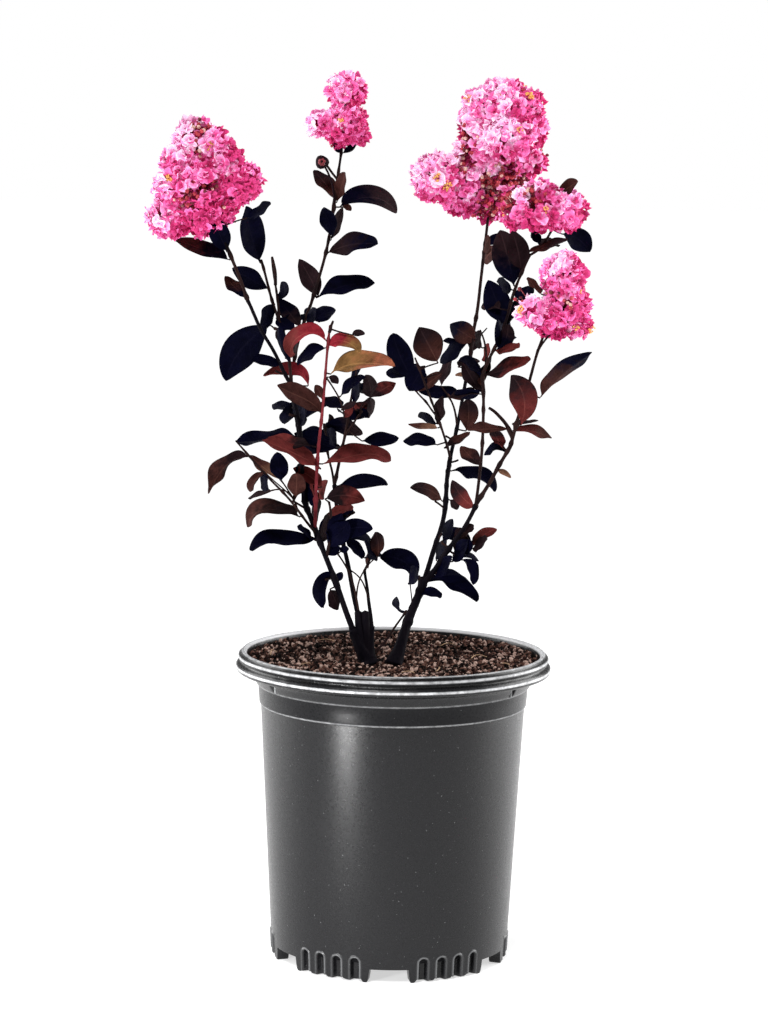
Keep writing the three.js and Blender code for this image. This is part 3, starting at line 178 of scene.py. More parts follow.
# Leaves that the photograph shows, placed one by one. Each row: pixels along the midrib from its foot to its
# tip, the width that is seen in pixels, and its tint, or its tints at foot and tip.
SEEN_LEAVES = [
    # under and beside the left blossom
    ((260, 263), (254, 238), (246, 206), 23, "navy"), ((247, 218), (257, 210), (271, 203), 9, "navy"),
    ((229, 260), (205, 246), (174, 239), 14, "navy brown"), ((227, 252), (222, 234), (212, 216), 18, "navy"),
    ((268, 290), (252, 277), (232, 268), 17, "navy"), ((247, 298), (237, 286), (225, 276), 12, "navy brown"),
    ((277, 301), (284, 292), (281, 282), 10, "navy"), ((277, 297), (288, 310), (300, 326), 15, "navy plum"),
    ((275, 304), (268, 315), (261, 327), 13, "navy"),
    ((270, 325), (250, 335), (233, 354), (226, 381), 30, "navy"),
    ((289, 362), (284, 345), (280, 325), 9, "navy"), ((277, 330), (284, 338), (290, 350), 9, "plum"),
    # the middle stem
    ((340, 207), (350, 197), (371, 192), (397, 213), 18, "navy plum"),
    ((342, 207), (347, 206), (351, 211), 6, "brown"), ((333, 237), (330, 222), (324, 207), 15, "navy"),
    ((328, 253), (348, 241), (378, 244), 18, "plum navy"), ((319, 297), (309, 276), (299, 259), 18, "plum"),
    ((317, 298), (345, 281), (375, 283), 17, "navy"), ((308, 318), (321, 313), (336, 310), 14, "navy"),
    ((306, 326), (312, 318), (316, 308), 9, "navy"), ((337, 200), (331, 186), (314, 170), 14, "brown plum"),
    ((337, 202), (338, 189), (345, 172), 10, "brown"), ((331, 240), (337, 224), (343, 207), 9, "plum"),
    ((342, 153), (338, 149), (334, 143), 6, "navy"), ((343, 153), (349, 149), (356, 144), 6, "navy"),
    # the red shoot and what grows behind it
    ((353, 402), (355, 390), (359, 379), 8, "navy"), ((337, 446), (334, 437), (328, 429), 9, "navy"),
    ((322, 399), (319, 391), (315, 385), 8, "brown"), ((301, 426), (302, 416), (305, 408), 6, "navy"),
    ((276, 318), (284, 322), (294, 330), 11, "navy"), ((369, 400), (371, 409), (368, 418), 9, "plum"),
    ((344, 418), (349, 411), (353, 406), 7, "maroon"), ((327, 548), (335, 534), (349, 522), 20, "navy"),
    ((322, 545), (326, 528), (330, 512), 9, "plum"), ((317, 522), (315, 509), (317, 497), 8, "plum"),
    ((326, 556), (333, 549), (341, 548), 10, "navy"), ((320, 500), (322, 488), (328, 481), 8, "maroon"),
    ((326, 341), (314, 330), (298, 330), (291, 340), (291, 358), 13, "crimson maroon"),
    ((328, 346), (338, 338), (350, 340), (359, 353), 13, "crimson gold"),
    ((352, 335), (358, 332), (365, 334), 6, "plum"),
    ((331, 374), (341, 362), (358, 358), (376, 358), (395, 366), 17, "gold rust"),
    ((328, 377), (334, 378), (338, 384), 7, "plum"),
    ((308, 386), (306, 373), (294, 366), (278, 369), (263, 376), 12, "crimson maroon"),
    ((322, 415), (311, 398), (297, 391), (277, 385), 18, "brown"),
    ((292, 403), (282, 404), (273, 409), 9, "navy"), ((292, 402), (287, 412), (284, 424), 13, "navy"),
    ((292, 408), (300, 407), (309, 404), 9, "navy"), ((296, 402), (295, 394), (291, 388), 8, "brown"),
    ((282, 366), (268, 359), (252, 361), 10, "navy"), ((326, 348), (310, 350), (297, 365), 11, "navy"),
    ((354, 379), (356, 371), (359, 363), 8, "navy"), ((341, 396), (349, 383), (366, 377), 9, "navy"),
    ((370, 398), (371, 386), (365, 375), 14, "plum"), ((370, 398), (380, 388), (396, 383), 13, "plum maroon"),
    ((341, 408), (333, 402), (325, 397), 12, "navy"), ((341, 410), (348, 405), (356, 402), 6, "plum"),
    ((355, 410), (364, 404), (372, 400), 9, "maroon plum"), ((357, 409), (364, 412), (368, 418), 8, "navy"),
    ((324, 427), (342, 424), (363, 434), 15, "navy plum"), ((329, 427), (332, 420), (329, 414), 6, "plum"),
    ((300, 437), (268, 434), (236, 441), 12, "navy"), ((337, 449), (318, 439), (294, 433), 17, "navy"),
    ((325, 440), (314, 431), (301, 432), 12, "navy"),
    ((321, 469), (305, 454), (286, 445), (262, 440), 13, "maroon"),
    ((312, 446), (290, 441), (268, 437), 12, "plum maroon"),
    ((322, 487), (311, 474), (293, 468), 13, "maroon"), ((296, 497), (295, 484), (297, 473), 16, "brown"),
    ((315, 510), (309, 492), (303, 473), 10, "navy"), ((316, 503), (317, 497), (316, 491), 4, "gold"),
    ((323, 464), (345, 453), (368, 449), (391, 461), 16, "maroon"),
    ((362, 441), (376, 438), (399, 438), 13, "navy"), ((338, 486), (362, 479), (388, 485), 14, "navy"),
    ((325, 499), (345, 493), (365, 501), 18, "plum maroon"),
    ((327, 514), (340, 508), (353, 509), 9, "maroon"), ((328, 540), (336, 527), (342, 513), 14, "navy"),
    ((335, 536), (352, 526), (373, 529), 17, "navy"), ((338, 548), (334, 538), (326, 532), 9, "navy"),
    ((345, 541), (358, 534), (371, 539), 10, "navy"), ((378, 556), (379, 545), (375, 532), 13, "brown plum"),
    ((346, 539), (356, 545), (362, 559), 10, "navy"), ((377, 559), (372, 551), (365, 541), 10, "navy"),
    ((340, 552), (343, 549), (349, 549), 7, "navy"),
    # the far left
    ((318, 539), (297, 535), (275, 535), (251, 551), 15, "navy"),
    ((312, 537), (305, 530), (298, 528), 6, "navy"),
    ((299, 517), (284, 507), (268, 505), (253, 510), (247, 527), 13, "plum brown"),
    ((272, 491), (259, 493), (248, 498), 4, "plum"), ((262, 472), (254, 477), (252, 491), 8, "brown"),
    ((260, 475), (263, 483), (268, 490), 9, "navy"),
    ((250, 457), (236, 455), (220, 463), (212, 478), (208, 494), 13, "plum brown"),
    ((281, 481), (279, 466), (277, 452), 16, "navy"), ((279, 480), (266, 466), (250, 455), 10, "tan brown"),
    ((336, 574), (322, 579), (318, 592), (322, 608), 13, "navy"),
    ((330, 589), (335, 599), (338, 610), 13, "plum"), ((335, 583), (339, 577), (342, 572), 7, "navy"),
    # the right foot
    ((405, 612), (399, 609), (398, 598), 6, "navy"),
    ((410, 582), (413, 566), (401, 556), (380, 558), 20, "navy"),
    ((408, 584), (414, 577), (416, 566), 10, "navy"), ((420, 592), (432, 591), (441, 598), 9, "navy"),
    ((438, 577), (455, 580), (468, 588), (477, 602), 14, "navy"),
    ((461, 560), (470, 562), (475, 570), (473, 585), 10, "navy"),
    ((443, 541), (448, 530), (453, 519), 10, "navy"), ((465, 536), (460, 530), (455, 534), 6, "plum"),
    ((466, 534), (468, 528), (474, 525), 8, "plum"), ((455, 554), (462, 546), (472, 541), 15, "navy"),
    ((452, 562), (459, 550), (468, 540), 11, "navy"),
    ((473, 546), (484, 532), (497, 529), 10, "brown maroon"), ((472, 549), (479, 544), (487, 538), 9, "plum"),
    ((442, 501), (430, 490), (410, 488), 12, "brown plum"),
    ((474, 507), (459, 497), (452, 480), 14, "maroon plum"), ((450, 500), (455, 503), (457, 510), 8, "plum"),
    ((452, 471), (470, 468), (485, 475), (495, 492), 14, "navy"),
    ((496, 469), (503, 471), (511, 478), 5, "tan"), ((481, 465), (472, 457), (461, 446), 13, "plum brown"),
    ((506, 452), (497, 446), (484, 455), 8, "navy"), ((503, 448), (500, 438), (492, 429), 11, "maroon plum"),
    ((508, 430), (490, 426), (467, 430), 9, "brown"), ((444, 448), (457, 439), (470, 432), 8, "plum brown"),
    ((437, 445), (421, 438), (403, 441), 12, "navy"), ((428, 582), (444, 575), (468, 580), 12, "navy"),
    ((434, 577), (443, 567), (452, 556), 11, "navy"), ((452, 560), (464, 554), (479, 561), 5, "navy"),
    ((436, 560), (440, 549), (447, 540), 9, "navy"),
    # the right crown
    ((481, 392), (474, 380), (463, 362), 14, "plum"), ((481, 386), (482, 374), (489, 362), 9, "brown"),
    ((479, 394), (465, 391), (450, 397), 8, "plum"), ((458, 367), (468, 359), (480, 361), 9, "plum"),
    ((447, 396), (458, 396), (464, 391), 9, "brown"), ((482, 348), (478, 341), (476, 332), 8, "plum"),
    ((499, 347), (498, 334), (497, 320), 7, "navy"), ((517, 300), (524, 297), (532, 296), 7, "navy"),
    ((484, 252), (489, 245), (490, 237), 8, "brown"), ((512, 424), (525, 421), (538, 420), 3, "plum"),
    ((512, 431), (530, 428), (552, 438), 9, "maroon brown"),
    ((521, 425), (527, 398), (511, 375), 24, "maroon plum"),
    ((540, 398), (552, 377), (570, 361), (592, 352), 14, "brown navy"),
    ((483, 376), (500, 367), (531, 359), 13, "plum maroon"), ((482, 371), (472, 362), (459, 360), 10, "navy"),
    ((470, 372), (463, 374), (455, 375), 4, "tan"), ((481, 390), (468, 395), (454, 394), 10, "navy"),
    ((466, 431), (471, 415), (467, 398), 18, "brown plum"), ((443, 372), (430, 379), (415, 391), 11, "brown"),
    ((460, 391), (440, 390), (419, 392), 13, "navy"), ((437, 424), (438, 410), (443, 396), 10, "plum"),
    ((437, 424), (429, 418), (418, 416), 9, "navy"), ((438, 428), (424, 425), (408, 424), 6, "tan brown"),
    ((413, 379), (398, 358), (393, 333), 22, "navy"), ((408, 376), (397, 371), (386, 372), 11, "navy"),
    ((425, 366), (416, 374), (409, 391), 21, "navy"), ((438, 363), (430, 345), (419, 327), 26, "brown plum"),
    ((476, 341), (464, 330), (450, 324), 20, "brown navy"), ((469, 339), (453, 349), (440, 363), 13, "navy"),
    ((459, 342), (450, 340), (443, 341), 6, "navy"), ((441, 386), (444, 368), (450, 350), 10, "plum"),
    ((487, 361), (486, 352), (486, 344), 7, "maroon"), ((497, 350), (508, 338), (508, 324), 14, "navy plum"),
    ((495, 351), (508, 347), (520, 346), 8, "maroon"), ((504, 326), (500, 302), (488, 280), 23, "navy"),
    ((500, 309), (491, 303), (481, 307), 10, "plum"), ((512, 290), (505, 284), (497, 281), 11, "navy"),
    ((514, 294), (522, 291), (534, 292), 11, "navy"), ((541, 294), (535, 285), (528, 277), 7, "brown"),
    ((505, 327), (512, 312), (517, 299), 9, "navy"), ((514, 286), (508, 258), (500, 230), 27, "navy plum"),
    ((521, 270), (521, 252), (512, 231), 20, "plum"), ((484, 263), (490, 257), (495, 247), 10, "brown"),
    ((527, 252), (543, 245), (568, 239), 7, "brown plum"), ((562, 234), (578, 236), (590, 252), 20, "navy"),
    ((540, 244), (537, 238), (532, 232), 8, "navy"), ((556, 197), (565, 187), (578, 181), 12, "brown"),
]

# Bare twigs and stubs that it shows: pixels from foot to tip, and half their thickness in millimetres.
SEEN_TWIGS = [
    ((361, 652), (360, 630), (358, 612), 3.4), ((366, 652), (366, 630), (365, 612), 3.4),
    ((356, 650), (354, 638), (352, 626), 2.6), ((332, 556), (331, 528), (329, 502), 1.0),
    ((362, 618), (356, 597), (350, 575), (337, 553), 0.75),
    ((352, 610), (357, 588), (366, 568), (377, 557), 0.6), ((370, 600), (363, 583), (350, 570), 0.6),
    ((410, 610), (411, 594), (410, 580), 0.45), ((508, 438), (503, 420), (489, 408), 1.3),
    ((299, 508), (290, 494), (270, 491), 0.6), ((296, 500), (288, 490), (279, 478), 0.6),
    ((292, 498), (280, 486), (262, 470), 0.5), ((457, 428), (455, 412), (449, 397), 0.8),
    ((328, 378), (338, 396), (344, 414), 0.6), ((478, 342), (481, 334), (487, 328), 0.6),
    ((539, 352), (543, 343), (550, 334), 0.8), ((357, 412), (363, 404), (370, 398), 0.6),
    ((355, 392), (355, 378), (357, 366), 0.6), ((277, 285), (275, 271), (272, 257), 1.2),
    ((329, 332), (331, 327), (333, 321), 1.0), ((488, 378), (486, 362), (480, 330), 0.8),
]


# ---------------------------------------------------------------- the growth rule of the source

SOIL_TOP = 220.0
# The box that holds the crown.
CROWN_LOW = np.array([-188.0, -112.0, SOIL_TOP + 4])
CROWN_HIGH = np.array([143.0, 112.0, 640.0])
# Leaves that are lower than this stay within this radius, clear of the pot's rim.
RIM_TOP = 232.0
RIM_CLEAR = 98.0
# A leaf's width as a share of its length, and the slope of its two halves from the midrib.
LEAF_SHARE = 0.5
LEAF_FOLD = math.tan(math.radians(22))
# How far leaves and florets may reach into the lobes of their own cluster, and how far leaves keep away
# from other lobes.
LOBE_OVERLAP = 5.0
LOBE_CLEAR = 4.5
# Gaps to what grows on the same shoot, counted beyond these distances from a leaf's foot, and to the rest.
OWN_CLEAR = dict(limb=0.8, leaf=1.8, limb_beyond=8.0, leaf_beyond=9.0)
OTHER_CLEAR = dict(limb=1.3, leaf=3.2)
# Steps between the spheres of a limb and between the rows of points of a leaf.
SPHERE_STEP = 4.0
POINT_STEP = 4.5
# Degrees by which a leaf is swung in turn until it finds room.
SWINGS = (0, 16, -16, 32, -32, 52, -52, 75)
# Where along a shoot its leaves grow, if its row doesn't say it.
USUAL_END = 0.94


def heading(turn, lift):
    """A direction from its turn round +Z and its lift above level."""
    turn, lift = math.radians(turn), math.radians(lift)
    return np.array([math.cos(lift) * math.cos(turn), math.cos(lift) * math.sin(turn), math.sin(lift)])


def seeded(seed):
    """The repeatable stream of numbers from 0 to 1 that the solids are grown with too."""
    mask = 0xFFFFFFFF
    state = seed

    def draw():
        nonlocal state
        state = (state + 0x6D2B79F5) & mask
        mix = ((state ^ (state >> 15)) * (state | 1)) & mask
        mix = (mix ^ ((mix + (((mix ^ (mix >> 7)) * (mix | 61)) & mask)) & mask)) & mask
        return ((mix ^ (mix >> 14)) & mask) / 4294967296
    return draw


def bowed(foot, middle, tip, t):
    """Points at shares t of a curve from foot to tip, bent towards its middle."""
    return foot * (1 - t) ** 2 + middle * 2 * t * (1 - t) + tip * t * t


class Limb:
    """A bowed axis with a radius that changes along it."""

    def __init__(self, name, foot, tip, radii, bow=(0, 0, 0), flare=0.0, carrier=None, at=1.0):
        self.name, self.radii, self.flare, self.carrier, self.at = name, radii, flare, carrier, at
        self.foot, self.tip = np.array(foot, float), np.array(tip, float)
        self.middle = (self.foot + self.tip) / 2 + 2 * np.array(bow, float)
        self.knots = []

    def point(self, t):
        """Points of its axis at shares t of the way from foot to tip."""
        return bowed(self.foot, self.middle, self.tip, np.asarray(t, float)[..., None])

    def radius(self, t):
        """Half its thickness at t."""
        return self.radii[0] + (self.radii[1] - self.radii[0]) * t + self.flare * np.exp(-9 * t)

    def length(self):
        return float(np.linalg.norm(np.diff(self.point(np.linspace(0, 1, 25)), axis=0), axis=1).sum())


def blade(leaf, share):
    """Centre, across and face directions and half width of a leaf at shares of its length."""
    share = np.asarray(share, float)
    start, bend, turn = (math.radians(leaf[key]) for key in ("lift", "droop", "turn"))
    lift = start - bend * share
    run = leaf["length"] * (math.sin(start) - np.sin(lift)) / bend
    rise = leaf["length"] * (np.cos(lift) - math.cos(start)) / bend
    centre = leaf["base"] + np.stack([math.cos(turn) * run, math.sin(turn) * run, rise], -1)
    level = np.array([-math.sin(turn), math.cos(turn), 0.0])
    up = np.stack([-np.sin(lift) * math.cos(turn), -np.sin(lift) * math.sin(turn), np.cos(lift)], -1)
    roll = math.radians(leaf["roll"])
    across = level * math.cos(roll) + up * math.sin(roll)
    face = up * math.cos(roll) - level * math.sin(roll)
    inside = np.clip(share, 0, 1)
    outline = np.clip(np.sin(math.pi * inside ** 0.9), 0, 1) ** 0.75 * (share < 1)
    return centre, across, face, leaf["length"] * LEAF_SHARE / 2 * outline


def leaf_cloud(leaf):
    """Points spread over a leaf, which stand for it where clearances are tested."""
    rows = math.ceil(leaf["length"] / POINT_STEP)
    centre, across, face, half = blade(leaf, np.arange(1, rows + 1) / rows)
    sides = np.array([-1, -0.5, 0, 0.5, 1])[None, :, None]
    reach = half[:, None, None]
    spread = centre[:, None] + across[:, None] * sides * reach
    spread = spread + face[:, None] * np.abs(sides) * reach * LEAF_FOLD
    return np.concatenate([spread[:-1].reshape(-1, 3), centre[-1:]])


class Space:
    """What is already placed: limbs as spheres along their axes, leaves as points, and lobes."""

    def __init__(self):
        self.limbs, self.leaves, self.lobes = [], [], []

    def add_limb(self, owner, limb):
        steps = max(2, math.ceil(np.linalg.norm(limb.tip - limb.foot) / SPHERE_STEP))
        shares = np.arange(steps + 1) / steps
        self.limbs.append((owner, limb.point(shares), limb.radius(shares)))

    def add_leaf(self, owner, cloud):
        self.leaves.append((owner, cloud, 0.0))

    def add_lobe(self, owner, centre, wide, tall):
        self.lobes.append((owner, centre, np.array([wide, wide, tall])))

    def is_free(self, owner, base, cloud):
        """Whether a leaf with its foot at base keeps its distance from all that is placed."""
        low, high = cloud.min(0), cloud.max(0)
        if (low < CROWN_LOW).any() or (high > CROWN_HIGH).any():
            return False
        if low[2] < RIM_TOP and (np.hypot(cloud[:, 0], cloud[:, 1]) > RIM_CLEAR).any():
            return False
        away = np.linalg.norm(cloud - base, axis=1)
        for kind, far, placed in (("limb", 6, self.limbs), ("leaf", 4, self.leaves)):
            for grower, centres, radii in placed:
                if (centres.max(0) + far < low).any() or (centres.min(0) - far > high).any():
                    continue
                own = grower == owner
                gap = OWN_CLEAR[kind] if own else OTHER_CLEAR[kind]
                points = cloud[away > OWN_CLEAR[kind + "_beyond"]] if own else cloud
                if len(points) and (np.linalg.norm(points[:, None] - centres, axis=2) - radii < gap).any():
                    return False
        for grower, centre, reach in self.lobes:
            grow = -LOBE_OVERLAP if grower == owner else LOBE_CLEAR
            if ((((cloud - centre) / (reach + grow)) ** 2).sum(1) < 1).any():
                return False
        return True


def side_twigs(row, stem):
    """A shoot's side twigs leave its stem one after another on a spiral."""
    draw = seeded(row["seed"] * 101)
    twigs = []
    for index in range(row.get("twigs", 0)):
        turn = row["turn"] + 137.5 * index + (draw() - 0.5) * 40
        lift = 35 + 25 * draw()
        long = row["leaf"] * (0.7 + 0.5 * draw())
        foot = stem.point(0.5)
        limb = Limb(row["name"], foot, foot + heading(turn, lift) * long, (0.8, 0.6), carrier=stem, at=0.5)
        twigs.append((limb, dict(nodes=2, first=0.5, last=USUAL_END, turn=turn + 90, lift=20)))
    return twigs


def sprout(row, stem, plan, draw, space):
    """Leaves leave a stem at equal steps. Each tries a few swings to find room, or is left out."""
    leaves = []
    for node in range(plan["nodes"]):
        part = node / (plan["nodes"] - 1) if plan["nodes"] > 1 else 0
        at = plan["first"] + (plan["last"] - plan["first"]) * part
        base = stem.point(at)
        for side in (node % 2,) if row.get("solo") else (0, 1):
            sway, rise, size, sag, facing, tilt = (draw() for _ in range(6))
            aim = plan["turn"] + row.get("spin", 90) * node + 180 * side + (sway - 0.5) * 36
            length = row["leaf"] * (0.85 + 0.3 * size) * (1 - 0.2 * node / max(1, plan["nodes"]))
            leaf = dict(
                base=base, stem=stem, at=at, tint=row["tint"],
                lift=plan["lift"] + row.get("rise", 0) * part + (rise - 0.5) * 30,
                length=length * (row.get("pair", 1) if side else 1),
                droop=row.get("droop", 50) + (sag - 0.5) * 40,
            )
            for swing in SWINGS:
                leaf["turn"] = aim + swing
                away = 1 if math.cos(math.radians(leaf["turn"])) >= 0 else -1
                leaf["roll"] = (1 if facing < 0.75 else -1) * away * (28 + 36 * tilt)
                cloud = leaf_cloud(leaf)
                if space.is_free(row["name"], base, cloud):
                    space.add_leaf(row["name"], cloud)
                    leaves.append(dict(leaf))
                    break
    return leaves


def grow():
    """All limbs by name, the twigs and bud stalks, and the leaves, as the source grows them."""
    limbs, twigs, space = {}, [], Space()
    for row in TRUNKS + BOUGHS + SHOOTS:
        carrier, at = limbs.get(row.get("on")), row.get("at", 1)
        foot = carrier.point(at) if carrier else row["foot"]
        tip = row["tip"] if "tip" in row else foot + heading(*row["way"]) * row["long"]
        limb = Limb(row["name"], foot, tip, row["radii"], row.get("bow", (0, 0, 0)), row.get("flare", 0),
                    carrier, at)
        limbs[row["name"]] = limb
        space.add_limb(row["name"], limb)
        for x, y, z, wide, tall in row.get("lobes", []):
            space.add_lobe(row["name"], limb.tip + np.array([x, y, z]), wide, tall)
    plans = []
    for row in SHOOTS:
        stem = limbs[row["name"]]
        first = row.get("first", USUAL_END)
        main = dict(nodes=row["nodes"], first=first, last=row.get("last", USUAL_END), turn=row["turn"],
                    lift=row["lift"])
        plans.append([(stem, main)] + side_twigs(row, stem))
        for twig, _ in plans[-1][1:]:
            twigs.append(twig)
            space.add_limb(row["name"], twig)
        if "bud" in row:
            bud = row["bud"]
            foot = stem.point(bud["at"])
            stalk = Limb(row["name"], foot, foot + heading(*bud["way"]) * bud["long"], (0.9, 0.9),
                         carrier=stem, at=bud["at"])
            twigs.append(stalk)
            space.add_limb(row["name"], stalk)
            space.add_lobe(row["name"], stalk.tip, bud["radius"], bud["radius"])
    leaves = []
    for row, stems in zip(SHOOTS, plans):
        draw = seeded(row["seed"])
        for stem, plan in stems:
            leaves.extend(sprout(row, stem, plan, draw, space))
    return limbs, twigs, leaves


# ---------------------------------------------------------------- mesh making


def strips(rows, cols, wrap=False):
    """The quads of a grid of points that is stored row by row. Wrap joins the last column to the first."""
    row, col = np.meshgrid(np.arange(rows - 1), np.arange(cols if wrap else cols - 1), indexing="ij")
    after = (col + 1) % cols
    quads = np.stack([row * cols + col, row * cols + after, (row + 1) * cols + after,
                      (row + 1) * cols + col], -1)
    return quads.reshape(-1, 4)


def fan(hub, ring, flip=False):
    """Triangles from a hub to each side of a closed ring of point numbers."""
    ring = np.asarray(ring)
    after = np.roll(ring, -1)
    hubs = np.full(len(ring), hub)
    return np.stack([hubs, after, ring] if flip else [hubs, ring, after], -1)


def closed_rings(rows, sides):
    """Faces of a stack of closed rings, whose points come row by row and then the hubs of its two ends."""
    count = rows * sides
    ring = np.arange(sides)
    return [strips(rows, sides, wrap=True), fan(count, ring, flip=True), fan(count + 1, ring + count - sides)]


class Gather:
    """Gathers points and faces, and makes one object of them."""

    def __init__(self, name):
        self.name, self.points, self.spots, self.faces, self.tints, self.count = name, [], [], [], [], 0

    def add(self, points, faces, tint=0, spots=None):
        """Adds a shape. Tint is the number of its material, or a list with one entry for each block."""
        points = np.asarray(points, float).reshape(-1, 3)
        self.points.append(points)
        self.spots.append(np.zeros((len(points), 2)) if spots is None else spots.reshape(-1, 2))
        tint = tint if isinstance(tint, list) else [tint] * len(faces)
        for block, hue in zip(faces, tint):
            self.faces.append(np.asarray(block) + self.count)
            self.tints.append(np.broadcast_to(hue, len(block)))
        self.count += len(points)

    def copies(self, points, faces, places, frames, sizes, tint=0, spots=None):
        """Adds one shape many times: frames holds three axes for each place."""
        moved = np.einsum("pk,nkj->npj", points, frames * np.asarray(sizes)[:, None, None])
        moved = moved + np.asarray(places)[:, None]
        steps = (np.arange(len(places)) * len(points))[:, None, None]
        blocks = [(block[None] + steps).reshape(-1, block.shape[1]) for block in faces]
        tint = np.asarray(tint)
        for block, one in zip(blocks, faces):
            self.faces.append(block + self.count)
            self.tints.append(np.repeat(tint, len(one)) if tint.ndim else np.full(len(block), tint))
        self.points.append(moved.reshape(-1, 3))
        flat = np.zeros((len(points), 2)) if spots is None else spots
        self.spots.append(np.tile(flat, (len(places), 1)))
        self.count += len(places) * len(points)

    def make(self, materials, slot, nodes):
        """Makes the object, which rides the body and replaces some nodes of the solids."""
        mesh = bpy.data.meshes.new(self.name)
        points = np.concatenate(self.points) * MM
        corners = np.concatenate([block.ravel() for block in self.faces])
        sides = np.concatenate([np.full(len(block), block.shape[1]) for block in self.faces])
        mesh.vertices.add(len(points))
        mesh.vertices.foreach_set("co", points.ravel())
        mesh.loops.add(len(corners))
        mesh.loops.foreach_set("vertex_index", corners)
        mesh.polygons.add(len(sides))
        mesh.polygons.foreach_set("loop_start", np.concatenate([[0], np.cumsum(sides)[:-1]]))
        mesh.polygons.foreach_set("material_index", np.concatenate(self.tints))
        mesh.polygons.foreach_set("use_smooth", np.ones(len(sides), bool))
        mesh.update(calc_edges=True)
        layer = mesh.uv_layers.new(name="UVMap")
        layer.data.foreach_set("uv", np.concatenate(self.spots)[corners].ravel())
        for material in materials:
            mesh.materials.append(material)
        piece = bpy.data.objects.new(self.name, mesh)
        bpy.context.scene.collection.objects.link(piece)
        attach(piece, "root")
        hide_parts(*nodes)
        return piece


def unit(vectors):
    """The same directions with a length of one."""
    return vectors / np.linalg.norm(vectors, axis=-1, keepdims=True)


def ring_frames(path):
    """Two directions across a path at each of its points, carried along without twist."""
    along = unit(np.gradient(path, axis=0))
    side = unit(np.cross(along[0], UP + 0.1))
    sides = []
    for heading_here in along:
        side = side - heading_here * (side @ heading_here)
        side = side / np.linalg.norm(side)
        sides.append(side)
    sides = np.array(sides)
    return along, sides, np.cross(along, sides)


def tube(path, radii, sides, relief=None):
    """Points and faces of a closed tube. Relief is a share of the radius for each ring and side."""
    along, side, aside = ring_frames(path)
    angles = np.arange(sides) / sides * 2 * math.pi
    reach = radii[:, None] * (1 if relief is None else 1 + relief)
    rings = path[:, None] + side[:, None] * (reach * np.cos(angles))[..., None]
    rings = rings + aside[:, None] * (reach * np.sin(angles))[..., None]
    ends = np.array([path[0] - along[0] * radii[0] * 0.3, path[-1] + along[-1] * radii[-1] * 0.5])
    return np.concatenate([rings.reshape(-1, 3), ends]), closed_rings(len(path), sides)


def waves(rng, count, low, high):
    """A smooth random function of many columns of numbers, as a sum of sine waves."""
    pitches = rng.uniform(low, high, count) * rng.choice([-1, 1], count)
    phases = rng.uniform(0, 2 * math.pi, count)
    return lambda x: np.sin(np.asarray(x)[..., None] * pitches + phases).sum(-1) / math.sqrt(count)


# ---------------------------------------------------------------- limbs that are seen

# How much thicker a limb is at a joint, as a share of its radius, and how far along it that reaches.
JOINT_SWELL = 0.2
JOINT_REACH = 2.2


def settle(limbs, twigs, leaves, rng):
    """Gives each limb a slight crookedness, and the places along it where something grows."""
    for limb in list(limbs.values()) + twigs:
        limb.sway = [waves(rng, 3, 3, 9) for _ in range(3)]
        limb.crook = min(1.1, limb.length() * 0.012)
        if limb.carrier:
            limb.carrier.knots.append(limb.at)
    for leaf in leaves:
        leaf["stem"].knots.append(leaf["at"])


def lean(limb, t):
    """How far a limb's axis leaves its plain bow at t."""
    t = np.asarray(t, float)
    offset = np.stack([wave(t) for wave in limb.sway], -1) * (limb.crook * np.sin(math.pi * t))[..., None]
    if limb.carrier:
        offset = offset + lean(limb.carrier, limb.at) * ((1 - t) ** 2)[..., None]
    return offset


def limb_path(limb, t):
    """Points at shares t of a limb's crooked axis."""
    return limb.point(t) + lean(limb, t)


def limb_tube(limb, rng, step, sides, relief, slim):
    """A limb with swollen joints, and ridges of bark along it."""
    length = limb.length()
    count = max(4, math.ceil(length / step))
    t = np.linspace(0, 1, count + 1)
    radii = limb.radius(t) * slim
    for knot in limb.knots:
        radii = radii * (1 + JOINT_SWELL * np.exp(-(((t - knot) * length / JOINT_REACH) ** 2)))
    angles = np.arange(sides) / sides * 2 * math.pi
    along = t[:, None] * length
    ridges = 0
    for pitch in (2, 3, 5, 7):
        tall, phase, snake = (rng.uniform(*span) for span in ((0.4, 1), (0, 6.28), (5, 14)))
        ridges = ridges + tall * np.sin(pitch * angles + phase + np.sin(along / snake))
    rough = waves(rng, 6, 0.5, 2.5)(along + 9 * angles) * 0.5
    return tube(limb_path(limb, t), radii, sides, relief * (ridges * 0.5 + rough))


# ---------------------------------------------------------------- leaves that are seen

VEIN_PAIRS = 8


